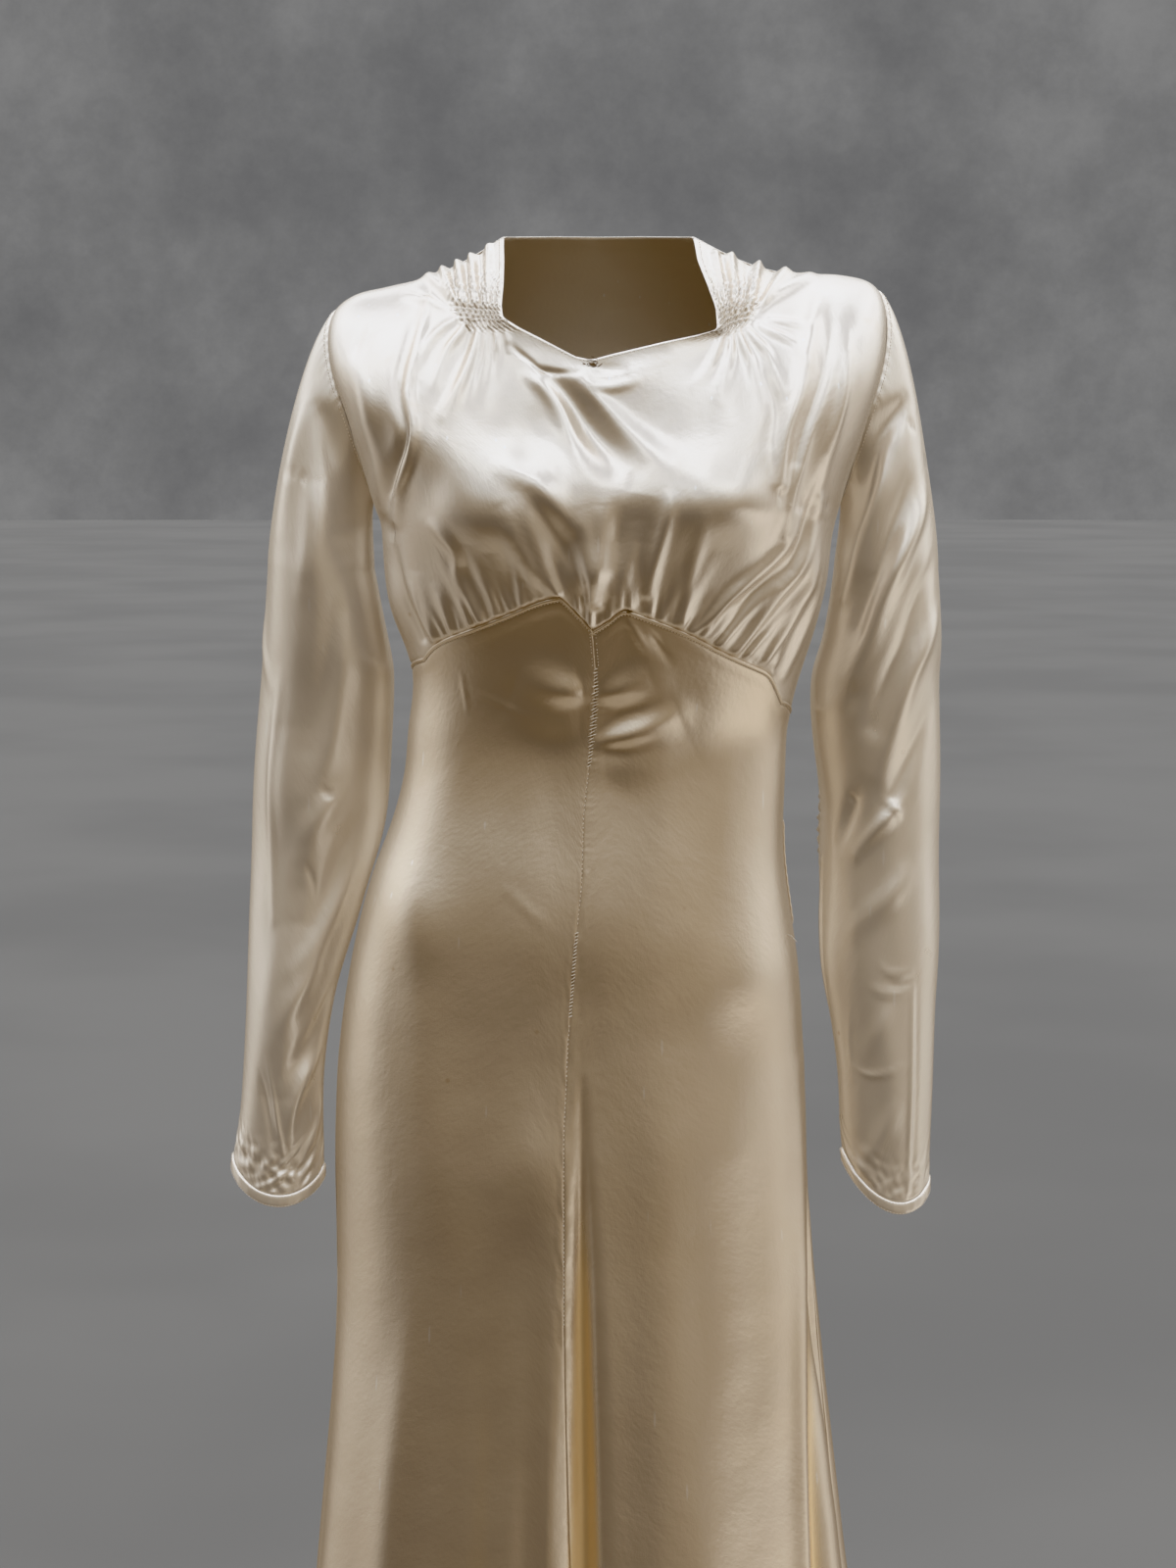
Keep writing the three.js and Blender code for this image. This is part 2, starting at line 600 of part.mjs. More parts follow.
function bodiceFront(plans) {
  const seamAngles = UNDERBUST_ANGLES.map(({ angle }) => angle);
  const plainColumns = spread(-SIDE, SIDE, 26);
  const foldColumns = spread(-SIDE, SIDE, 38);
  const puffLevels = spread(PUFF.from, PUFF.from + PUFF.step * PUFF.count, PUFF.count * 2);
  const upper = sorted([0, ...puffLevels, 0.84, 0.95, ...spread(1.07, 1.93, 8), ...ARMHOLE_LEVELS]);
  const lower = [0.18, 0.36, 0.54, 0.72, 0.86, 1];
  const bandColumns = spread(-2.5, 2.5, 10).map((n) => n * STITCH_ROW.step);
  const bandReach = bandColumns.at(-1);
  const chestColumns = [...spread(-66, -34, 11), ...spread(34, 66, 11)];
  const gatherColumns = spread(-SIDE, SIDE, 96);

  const angles = (level, f, plain) => {
    const base = plain ? plainColumns : foldColumns;
    if (f > 0) {
      const own = plain || f < 0.7 ? base : gatherColumns;
      return sorted([...own, ...(f > 0.8 ? seamAngles : [])]);
    }
    const edge = frontEdge(level);
    const scaled = base.map((a) => (a * edge) / SIDE);
    if (plain) return scaled;
    if (level <= 0.84) {
      const bands = SHIRRING.map((band) => band.angle + band.drift * level);
      const clear = scaled.filter((a) => bands.every((b) => Math.abs(a - b) > bandReach + 1));
      return sorted([...clear, ...bands.flatMap((b) => bandColumns.map((c) => b + c))]);
    }
    return level < SHOULDER ? sorted([...scaled, ...chestColumns]) : scaled;
  };
  const build = (plain) => {
    const rows = [];
    const add = (level, f) => {
      const list = angles(level, f, plain);
      const points = list.map((angle, k) => {
        const own = f > 0 ? levelToward(underbustHeight(angle), f) : level;
        const p = cloth(angle, own);
        const inward = inwardNormal(cloth, angle, own);
        if (!plain) return p.addScaledVector(inward, -shirringRelief(angle, own) - gatherRelief(p));
        const end = k === 0 ? 0 : 1;
        const mitre = f === 0 && (k === 0 || k === list.length - 1) ? plans[end].mitreAt(level, true) : null;
        return p.add(mitre ?? inward.multiplyScalar(WALL));
      });
      rows.push({ points, at: list.map((a) => a / SIDE), down: level + f });
    };
    const steps = plain ? sorted([0, 0.27, 0.55, 0.84, 1.2, 1.6, ...ARMHOLE_LEVELS]) : upper;
    steps.forEach((level) => add(level, 0));
    lower.filter((f) => !plain || f !== 0.86).forEach((f) => add(ARMPIT, f));
    return drawIn(rows);
  };
  return mesh("bodice_front", wall(build(false), build(true), false));
}

const backWaist = (angle) => mix(SIDE_SEAM_TOP.left, SIDE_SEAM_TOP.right, (angle - SIDE) / 180);

function bodiceBack(plans) {
  const upper = sorted([0, 0.3, 0.6, 1, 1.35, 1.7, ...ARMHOLE_LEVELS]);
  const lower = [0.25, 0.5, 0.75, 1];
  const unit = spread(0, 1, 22);
  const build = (plain) => {
    const rows = [];
    const add = (level, f) => {
      const edge = f > 0 ? SIDE : backEdge(level);
      const points = unit.map((u, k) => {
        const angle = mix(edge, 360 - edge, u);
        const own = f > 0 ? levelToward(backWaist(angle), f) : level;
        const turned = angle > 180 ? angle - 360 : angle;
        const p = cloth(turned, own);
        if (!plain) return p;
        const end = k === 0 ? 1 : 0;
        const mitre = f === 0 && (k === 0 || k === unit.length - 1) ? plans[end].mitreAt(level, false) : null;
        return p.add(mitre ?? inwardNormal(clothRound, angle, own).multiplyScalar(WALL));
      });
      rows.push({ points, at: unit, down: level + f });
    };
    upper.forEach((level) => add(level, 0));
    lower.forEach((f) => add(ARMPIT, f));
    return drawIn(rows);
  };
  return mesh("bodice_back", wall(build(false), build(true), false));
}

// The same surface with angles counted on round the back.
const clothRound = (angle, level) => cloth(angle > 180 ? angle - 360 : angle, level);

// ---- skirt ----
const SKIRT_LEVELS = [0, 0.03, 0.06, 0.09, 0.12, 0.15, 0.19, 0.24, ...spread(0.31, 1, 9)];
const centreAngle = (z) => angleAt(along(CENTRE_SEAM, "down", "x", -z), z);

function skirtPanel(name, columns, topHeight, edges) {
  const build = (plain) => drawIn(SKIRT_LEVELS.map((v) => {
    const points = columns.map((u) => {
      const [a, b] = edges(SEAM_POINT.z);
      const top = topHeight(mix(a, b, u)) - SEAM_DROP;
      const z = mix(top, HEM, v);
      const [from, to] = v === 0 ? [a, b] : edges(z);
      const angle = mix(from, to, u);
      const level = levelAt(z);
      const p = clothRound(angle, level);
      return plain ? p.addScaledVector(inwardNormal(clothRound, angle, level), WALL) : p;
    });
    return { points, at: columns, down: v };
  }));
  return mesh(name, wall(build(false), build(true), false));
}

function skirtFront(name, side) {
  const top = centreAngle(SEAM_POINT.z);
  const seams = UNDERBUST_ANGLES.map(({ angle }) => angle).filter((a) => side * (a - top) > 1);
  const corners = [0, ...seams.map((angle) => (angle - top) / (side * SIDE - top))];
  const between = spread(0, 1, 12).filter((u) => corners.every((corner) => Math.abs(u - corner) > 0.03));
  const edges = (z) => [centreAngle(z), side * SIDE];
  return skirtPanel(name, sorted([...corners, ...between]), underbustHeight, edges);
}

function skirtBack() {
  return skirtPanel("skirt_back", spread(0, 1, 26), backWaist, () => [SIDE, 360 - SIDE]);
}

// The turned edge of the side opening, lying on the wearer's left side seam.
function placketEdge() {
  const [top, bottom, wide, lift, thick] = [-398, -470, 4, 0.8, 1.2];
  const rows = (out) => spread(0, 1, 8).map((f) => {
    const z = mix(top, bottom, f);
    const level = levelAt(z);
    const points = spread(SIDE + 0.3, SIDE + wide, 2).map((angle) =>
      clothRound(angle, level).addScaledVector(inwardNormal(clothRound, angle, level), -out));
    return { points, at: [0, 0.5, 1], down: f };
  });
  return mesh("placket_edge", wall(rows(lift + thick), rows(lift), false));
}

// ---- the dress ----
const plans = [
  sleevePlan(-1, RIGHT_SLEEVE, RIGHT_CUFF),
  sleevePlan(1, LEFT_SLEEVE, LEFT_CUFF),
];
const dress = new THREE.Group();
dress.add(
  bodiceFront(plans),
  bodiceBack(plans),
  sleeve("sleeve_right", plans[0]),
  sleeve("sleeve_left", plans[1]),
  cuff("cuff_right", plans[0]),
  cuff("cuff_left", plans[1]),
  skirtFront("skirt_front_right", -1),
  skirtFront("skirt_front_left", 1),
  skirtBack(),
  placketEdge(),
);
export default dress;
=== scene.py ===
import math

import bpy
import numpy as np
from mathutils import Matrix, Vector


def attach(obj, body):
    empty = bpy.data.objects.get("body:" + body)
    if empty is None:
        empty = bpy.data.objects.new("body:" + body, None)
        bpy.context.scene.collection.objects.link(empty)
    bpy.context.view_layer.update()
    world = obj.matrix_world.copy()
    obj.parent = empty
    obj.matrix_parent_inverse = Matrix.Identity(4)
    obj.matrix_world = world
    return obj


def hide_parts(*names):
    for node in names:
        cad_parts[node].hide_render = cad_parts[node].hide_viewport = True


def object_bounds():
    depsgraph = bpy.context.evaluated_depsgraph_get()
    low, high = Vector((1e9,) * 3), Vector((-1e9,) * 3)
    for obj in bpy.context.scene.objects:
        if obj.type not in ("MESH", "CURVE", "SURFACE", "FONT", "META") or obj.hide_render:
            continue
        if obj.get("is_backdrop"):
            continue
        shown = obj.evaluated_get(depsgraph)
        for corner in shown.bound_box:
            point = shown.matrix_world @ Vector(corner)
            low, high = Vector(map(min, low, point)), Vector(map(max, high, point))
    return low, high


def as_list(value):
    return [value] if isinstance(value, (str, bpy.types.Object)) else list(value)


# A floor-length satin wedding dress in its hollow worn form.
# Tables are in millimetres and degrees, with +Z up, the front facing -Y and the wearer's left at +X.

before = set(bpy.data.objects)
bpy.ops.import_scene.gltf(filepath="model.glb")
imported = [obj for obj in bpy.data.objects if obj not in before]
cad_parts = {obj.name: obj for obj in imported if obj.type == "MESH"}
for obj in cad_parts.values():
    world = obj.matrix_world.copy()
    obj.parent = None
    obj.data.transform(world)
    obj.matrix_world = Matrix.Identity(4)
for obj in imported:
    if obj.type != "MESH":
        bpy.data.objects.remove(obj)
cad_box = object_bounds()

MM = 0.001
HEM = -1400
SIDE = 90              # side and shoulder seams, degrees from centre front
SHOULDER, ARMPIT = 2, 4  # ring numbers
ARMPIT_Z = -180
BACK_MM = 1.75         # for each degree across the back
TUCK, OVERLAP = 1.2, 1.0  # how far the bodice runs below its lower seam, and the skirt above it
THICK = 0.8            # the cloth
CUFF_DEPTH = 8
RNG = np.random.default_rng(1936)


# ---- small helpers ----
def mix(a, b, f):
    return a + (b - a) * f


def bell(x):
    return np.exp(-np.square(x))


def smooth(x):
    x = np.clip(x, 0, 1)
    return x * x * (3 - 2 * x)


def sind(angle):
    return np.sin(np.radians(angle))


def cosd(angle):
    return np.cos(np.radians(angle))


def half_turn(angle):
    """The same angle between -180 and 180."""
    return (angle + 180) % 360 - 180


def together(a, b):
    """Two arrays of numbers in one shape."""
    return np.broadcast_arrays(np.asarray(a, float), np.asarray(b, float))


def placed(name, data):
    """A new object in the scene."""
    thing = bpy.data.objects.new(name, data)
    bpy.context.scene.collection.objects.link(thing)
    return thing


def natural_bends(values):
    """Second derivatives of the natural cubic spline through evenly numbered values, along the first axis."""
    n = len(values)
    matrix = 4 * np.eye(n) + np.eye(n, k=1) + np.eye(n, k=-1)
    matrix[0], matrix[-1] = np.eye(n)[0], np.eye(n)[-1]
    right = np.zeros_like(values)
    right[1:-1] = 6 * (values[2:] - 2 * values[1:-1] + values[:-2])
    return np.linalg.solve(matrix, right.reshape(n, -1)).reshape(values.shape)


def spline(values, at):
    """Natural cubic spline through rows of values, at fractional row numbers."""
    values = np.asarray(values, float)
    bends = natural_bends(values)
    at = np.clip(np.asarray(at, float), 0, len(values) - 1)
    i = np.minimum(at.astype(int), len(values) - 2)
    f = (at - i)[:, None]
    g = 1 - f
    line = values[i] * g + values[i + 1] * f
    return line + ((g ** 3 - g) * bends[i] + (f ** 3 - f) * bends[i + 1]) / 6


def through(rows, each=6):
    """The rows of a table joined by a smooth line, with each steps between two rows."""
    return spline(rows, np.linspace(0, len(rows) - 1, (len(rows) - 1) * each + 1))


# ---- the worn form ----
NECKLINE = np.array([  # angle, x, y, z
    (-180, 2, 54, -1), (-145, -30, 47, -1), (-115, -54, 27, -2), (-90, -62, 5, -3), (-78, -61, -14, -20),
    (-66, -61, -33, -36), (-55, -62, -51, -50), (-47, -61, -61, -58), (-38, -50, -68, -65),
    (-25, -34, -74, -73), (-10, -13, -79, -84), (0, -3, -80, -86), (12, 12, -79, -82), (30, 46, -74, -74),
    (40, 66, -69, -70), (47, 80, -62, -66), (56, 79, -48, -51), (66, 74, -32, -36), (78, 68, -13, -19),
    (90, 66, 5, -3), (115, 57, 27, -2), (145, 34, 47, -1), (180, 2, 54, -1),
], float)
RINGS = np.array([  # front, side, back, x, y, half, deep front, deep back, square, lean
    (-112, -29, -38, 6, 6, 122, 92, 72, 2.4, 2),
    (-138, -45, -86, 8, 6, 182, 106, 92, 2.4, 6),
    (-157, -112, -135, 8, 3, 179, 117, 98, 2.4, 0),
    *((z, z, z, x, 0, half, front, back, square, 0) for z, x, half, front, back, square in (
        (ARMPIT_Z, 8, 157, 123, 99, 2.3), (-216, 8, 150, 119, 94, 2.3), (-254, 8, 143, 108, 85, 2.3),
        (-292, 8, 132, 97, 76, 2.3), (-330, 2, 129, 90, 70, 2.3), (-368, -1, 130, 92, 74, 2.3),
        (-408, -7, 135, 99, 86, 2.3), (-450, -12, 144, 105, 100, 2.3), (-509, -15, 155, 109, 108, 2.3),
        (-578, -17, 161, 113, 108, 2.3), (-650, -16, 164, 119, 106, 2.3), (-740, -13, 168, 126, 108, 2.3),
        (-860, -11, 178, 135, 116, 2.3), (-1020, -9, 195, 149, 135, 2.2), (-1210, -8, 219, 168, 162, 2.2),
        (HEM, -8, 246, 190, 192, 2.2))),
], float)
BUST = [(-66, -176, 44, 34, 9), (82, -176, 44, 34, 9)]  # x, z, wide, tall, height
SKIRT_WAVES = [  # angle, spread, start, depth at the hem
    (-8, 7, -600, -26), (-21, 9, -520, 13), (24, 16, -560, 10), (47, 11, -760, -18), (66, 10, -640, 16),
    (85, 7, -560, -24), (104, 12, -620, 20), (128, 11, -700, -20), (152, 14, -600, 18),
    (178, 12, -660, -20), (205, 14, -600, 18), (230, 11, -720, -20), (254, 12, -620, 18),
    (275, 8, -600, -18), (294, 11, -700, 14), (315, 12, -820, -18),
]


def neck_edge(angle):
    """Points of the neck edge at these angles, its corners a little rounded."""
    fine = np.arange(-200, 201, 0.5)
    kernel = bell(np.linspace(-2, 2, 13))
    kernel /= kernel.sum()
    columns = []
    for k in (1, 2, 3):
        straight = np.interp(half_turn(fine), NECKLINE[:, 0], NECKLINE[:, k])
        columns.append(np.interp(half_turn(angle), fine, np.convolve(straight, kernel, "same")))
    return np.stack(columns, -1)


def rings_at(angle):
    """Points of every ring, the neck edge first, at these angles."""
    s, c = sind(angle), cosd(angle)
    rows = [neck_edge(angle)]
    for front, side, back, x, y, half, deep_front, deep_back, square, lean in RINGS:
        reach = (np.abs(s) ** square + np.abs(c) ** square) ** (-1 / square)
        deep = np.where(c > 0, deep_front, deep_back)
        centre = np.where(c > 0, front, back)
        z = side + (centre - side) * np.abs(c) ** 1.5 + lean * s
        rows.append(np.stack([x + half * reach * s, y - deep * reach * c, z], -1))
    return np.stack(rows)


def loft(angle, level):
    """Points of the form; angle and level are arrays of one shape, and level is a ring number."""
    angle, level = together(angle, level)
    rings = rings_at(angle)
    bends = natural_bends(rings)
    i = np.clip(level.astype(int), 0, len(RINGS) - 1)
    f = (level - i)[..., None]
    g = 1 - f

    def pick(rows, k):
        which = np.broadcast_to(k[None, ..., None], (1,) + rows.shape[1:])
        return np.take_along_axis(rows, which, 0)[0]

    line = pick(rings, i) * g + pick(rings, i + 1) * f
    return line + ((g ** 3 - g) * pick(bends, i) + (f ** 3 - f) * pick(bends, i + 1)) / 6


HALVINGS = 24          # of the range in which an angle is searched
LEVELS = np.linspace(ARMPIT, len(RINGS), 3000)
LEVEL_HEIGHTS = loft(np.zeros_like(LEVELS), LEVELS)[:, 2]


def level_at(z):
    """Ring number at a height below the armpit, where the rings are level."""
    return np.interp(-np.asarray(z, float), -LEVEL_HEIGHTS, LEVELS)


def angle_at(x, z):
    """Angle at which the front of the form passes x at heights below the armpit."""
    x, z = together(x, z)
    level = level_at(z)
    low, high = np.full(x.shape, -90.0), np.full(x.shape, 90.0)
    for _ in range(HALVINGS):
        middle = (low + high) / 2
        left = loft(middle, level)[..., 0] < x
        low, high = np.where(left, middle, low), np.where(left, high, middle)
    return (low + high) / 2


def cloth(angle, level):
    """The form with its large waves."""
    p = loft(angle, level)
    angle, level = together(angle, level)
    out = np.stack([sind(angle), -cosd(angle), np.zeros_like(angle)], -1)
    push = np.zeros_like(angle)
    for at, spread, start, depth in SKIRT_WAVES:
        grown = np.clip((start - p[..., 2]) / (start - HEM), 0, 1) ** 1.3
        push += depth * grown * bell(half_turn(angle - at) / spread)
    facing = smooth((SIDE - np.abs(half_turn(angle))) / 12)
    for x, z, wide, tall, height in BUST:
        push += facing * height * bell((p[..., 0] - x) / wide) * bell((p[..., 2] - z) / tall)
    return p + out * push[..., None]


# ---- creases ----
NARROWEST = 0.8        # half width of a crease, in mm
CREASE_REACH, ROLL_AT, ROLL_WIDE = 2.6, 1.7, 1.2  # in half widths


def crease(across, down, rows, roll=0.0):
    """Height of one crease over a surface; its rows are across, down, half width and height.

    roll sinks the cloth on the right of the crease, looking along it, or on its left where negative.
    """
    line = through(np.array(rows, float))
    widths = np.maximum(line[:, 2], NARROWEST)
    margin = CREASE_REACH * widths.max() * (1 + abs(roll))
    near = (across > line[:, 0].min() - margin) & (across < line[:, 0].max() + margin)
    near &= (down > line[:, 1].min() - margin) & (down < line[:, 1].max() + margin)
    height = np.zeros(across.shape)
    if not near.any():
        return height
    p = np.stack([across[near], down[near]], -1)
    best = np.full(len(p), 1e9)
    found = np.zeros(len(p))
    for k in range(len(line) - 1):
        a, b = line[k, :2], line[k + 1, :2]
        step = b - a
        f = np.clip((p - a) @ step / max(step @ step, 1e-9), 0, 1)
        off = p - a - f[:, None] * step
        away = np.hypot(off[:, 0], off[:, 1])
        side = np.sign(step[1] * off[:, 0] - step[0] * off[:, 1])
        d = away / mix(widths[k], widths[k + 1], f)
        tall = mix(line[k, 3], line[k + 1, 3], f)
        shape = bell(d) - abs(roll) * bell((side * d * np.sign(roll) - ROLL_AT) / ROLL_WIDE)
        closer = away < best
        found = np.where(closer, tall * shape, found)
        best = np.where(closer, away, best)
    height[near] = found
    return height


def creases(across, down, table):
    return sum(crease(across, down, rows, roll) for rows, roll in table)


def folds(text):
    """Creases from text, one a line: points with commas between them, then the roll if there is one."""
    table = []
    for line in text.splitlines():
        if line and line[0] != "#":
            points, _, roll = line.partition(" roll ")
            rows = [[float(n) for n in point.split()] for point in points.split(",")]
            table.append((rows, float(roll or 0)))
    return table


def soft_noise(across, down, seed, size, count=26):
    """Smooth unevenness, about 1 high, with swells of this size; the same for the same seed."""
    draw = np.random.default_rng(seed)
    total = np.zeros(across.shape)
    for _ in range(count):
        turn = draw.uniform(0, math.pi)
        length = size * draw.uniform(0.7, 2.2)
        phase = draw.uniform(0, 2 * math.pi)
        along = across * math.cos(turn) + down * math.sin(turn)
        total += np.sin(along * 2 * math.pi / length + phase)
    return total / math.sqrt(count)


SWELLS = [  # x, z, half width, half height, height: broad swells of the front
    (8, -108, 84, 24, 5), (0, -222, 17, 15, 5.5), (136, -226, 16, 26, 4.5),
    (-76, -190, 30, 20, 4.5), (86, -182, 32, 20, 4.5), (-8, -292, 80, 24, 2),
    (-8, -462, 84, 36, 1.6), (-122, -452, 24, 30, 5), (98, -492, 30, 32, 3.5),
    (-42, -618, 24, 46, 4.4), (-104, -610, 34, 60, 2.5), (58, -604, 52, 54, 3.5),
]


def swells(x, z):
    return sum(
        tall * bell((x - at) / wide) * bell((z - height) / long) for at, height, wide, long, tall in SWELLS)


# ---- shells ----
def normals_of(points, closed):
    """Outward normals of a grid whose columns run towards the wearer's left in front."""
    if closed:
        around = np.concatenate([points[:, -2:], points, points[:, :2]], 1)
        across = np.gradient(around, axis=1)[:, 2:-2]
    else:
        across = np.gradient(points, axis=1)
    down = np.gradient(points, axis=0)
    n = np.cross(down, across)
    return n / np.maximum(np.linalg.norm(n, axis=-1, keepdims=True), 1e-9)


def lowest_near(values, reach, closed):
    """The smallest value within reach rows and columns."""
    low = values
    for axis, pad in ((0, [(reach, reach), (0, 0)]), (1, [(0, 0), (reach, reach)])):
        wide = np.pad(low, pad, mode="wrap" if closed and axis else "edge")
        size = low.shape[axis]
        low = np.min([np.take(wide, np.arange(k, k + size), axis) for k in range(2 * reach + 1)], 0)
    return low


def picks(count, step, closed):
    """Every few numbers of a grid line, with its last one where the line is open."""
    chosen = np.arange(0, count, step)
    return chosen if closed or chosen[-1] == count - 1 else np.append(chosen, count - 1)


def zipped(a, a_at, b, b_at):
    """Triangles between two lines of vertex numbers with their places along them."""
    triangles, i, j = [], 0, 0
    while i < len(a) - 1 or j < len(b) - 1:
        if j == len(b) - 1 or (i < len(a) - 1 and a_at[i + 1] <= b_at[j + 1]):
            triangles.append((a[i], a[i + 1], b[j]))
            i += 1
        else:
            triangles.append((a[i], b[j + 1], b[j]))
            j += 1
    return triangles


def shell(name, base, relief, closed=False, step=3, thick=THICK, looks=(), painted_fold_shade=0.0):
    """A cloth piece: a fine outer grid, base moved out by relief, over a plainer inner grid.

    painted_fold_shade, from 0 to 1, is how much each point of the outer grid sees only other cloth; the satin
    paints an amber shade there by it.
    """
    m, n = relief.shape
    normal = normals_of(base, closed)
    outer = base + normal * relief[..., None]
    under = base + normal * (lowest_near(relief, step, closed) - thick)[..., None]
    ri, ci = picks(m, step, False), picks(n, step, closed)
    inner = under[np.ix_(ri, ci)]
    wide, ids = outer, np.arange(m * n).reshape(m, n)
    inner_ids = m * n + np.arange(len(ri) * len(ci)).reshape(len(ri), len(ci))
    at_columns, inner_columns = np.arange(n), ci
    if closed:
        wide, ids, inner_ids = (np.concatenate([grid, grid[:, :1]], 1) for grid in (wide, ids, inner_ids))
        at_columns, inner_columns = np.arange(n + 1), np.append(ci, n)
    v, _, u, _ = distances(wide)
    uv = np.stack([u - u[:, u.shape[1] // 2][:, None], -v], -1) * MM

    # Corners are numbered through the outer grid, then the inner one, with the first column of a
    # closed grid again at its end.
    corners = np.arange(ids.size).reshape(ids.shape)
    inner_corners = ids.size + np.arange(inner_ids.size).reshape(inner_ids.shape)
    vertex = np.concatenate([ids.ravel(), inner_ids.ravel()])
    uvs = np.concatenate([uv.reshape(-1, 2), uv[np.ix_(ri, inner_columns)].reshape(-1, 2)])

    def quads(grid):
        return np.stack([grid[:-1, :-1], grid[1:, :-1], grid[1:, 1:], grid[:-1, 1:]], -1).reshape(-1, 4)

    outside, inside = quads(corners), quads(inner_corners)[:, ::-1]
    rims = []
    for r, k, turn in ((0, 0, 1), (m - 1, -1, -1)):
        rims += [t[::turn] for t in zipped(corners[r], at_columns, inner_corners[k], inner_columns)]
    if not closed:
        for c, k, turn in ((0, 0, -1), (n - 1, -1, 1)):
            rims += [t[::turn] for t in zipped(corners[:, c], np.arange(m), inner_corners[:, k], ri)]
    rims = np.array(rims)
    slots = np.repeat(np.array([0, 1, 0], np.int32), [len(outside), len(inside), len(rims)])

    mesh = bpy.data.meshes.new(name)
    points = np.concatenate([outer.reshape(-1, 3), inner.reshape(-1, 3)]) * MM
    faces = [face for part in (outside, inside, rims) for face in vertex[part].tolist()]
    mesh.from_pydata(points.tolist(), [], faces)
    flat = np.concatenate([outside.ravel(), inside.ravel(), rims.ravel()])
    mesh.uv_layers.new(name="cloth").data.foreach_set("uv", uvs[flat].astype(np.float32).ravel())
    for look in looks:
        mesh.materials.append(look)
    shade = np.zeros(len(points), np.float32)
    shade[:m * n] = np.clip(np.broadcast_to(painted_fold_shade, relief.shape), 0, 1).ravel()
    mesh.attributes.new("painted_fold_shade", "FLOAT", "POINT").data.foreach_set("value", shade)
    mesh.polygons.foreach_set("material_index", slots)
    mesh.polygons.foreach_set("use_smooth", np.ones(len(slots), bool))
    mesh.update()
    return placed(name, mesh), outer


def sunk(relief, start, full):
    """From 0 where relief is above -start to 1 where it reaches -full."""
    return smooth((-relief - start) / (full - start))


def spaced(count, close, both=False):
    """Even steps from 0 to 1, with extra ones this close to the end, or to both ends."""
    extra = [1 - e for e in close] + (list(close) if both else [])
    return np.unique(np.concatenate([np.linspace(0, 1, count), extra]))


def dip(away, reach, deep):
    """Cloth drawn down into a seam; away is the distance from it."""
    return -deep * (1 - smooth(away / reach))


def distances(points):
    """Distance of each grid point from the first and last row, and from the first and last column."""
    down = np.linalg.norm(np.diff(points, axis=0), axis=-1)
    across = np.linalg.norm(np.diff(points, axis=1), axis=-1)
    top = np.concatenate([np.zeros((1, points.shape[1])), np.cumsum(down, 0)], 0)
    left = np.concatenate([np.zeros((points.shape[0], 1)), np.cumsum(across, 1)], 1)
    return top, top[-1] - top, left, left[:, -1:] - left


SEAM, EDGE, HEM_EDGE, WRIST = (1.2, 0.3), (1.2, 0.6), (1.2, 0.5), (1.4, 0.6)  # reach and depth of a dip
UNDER_LAP = (3.4, 1.05)
LAP = np.array([  # the turned edge that lies over a seam: distance from the edge, height
    (0, 0.15), (0.35, 0.85), (1.0, 1.2), (2.1, 1.1), (2.8, 0.3), (3.3, 0.15), (4.2, 0.4), (8, 0.35), (12, 0),
])


def lap(away):
    return np.interp(away, *LAP.T)


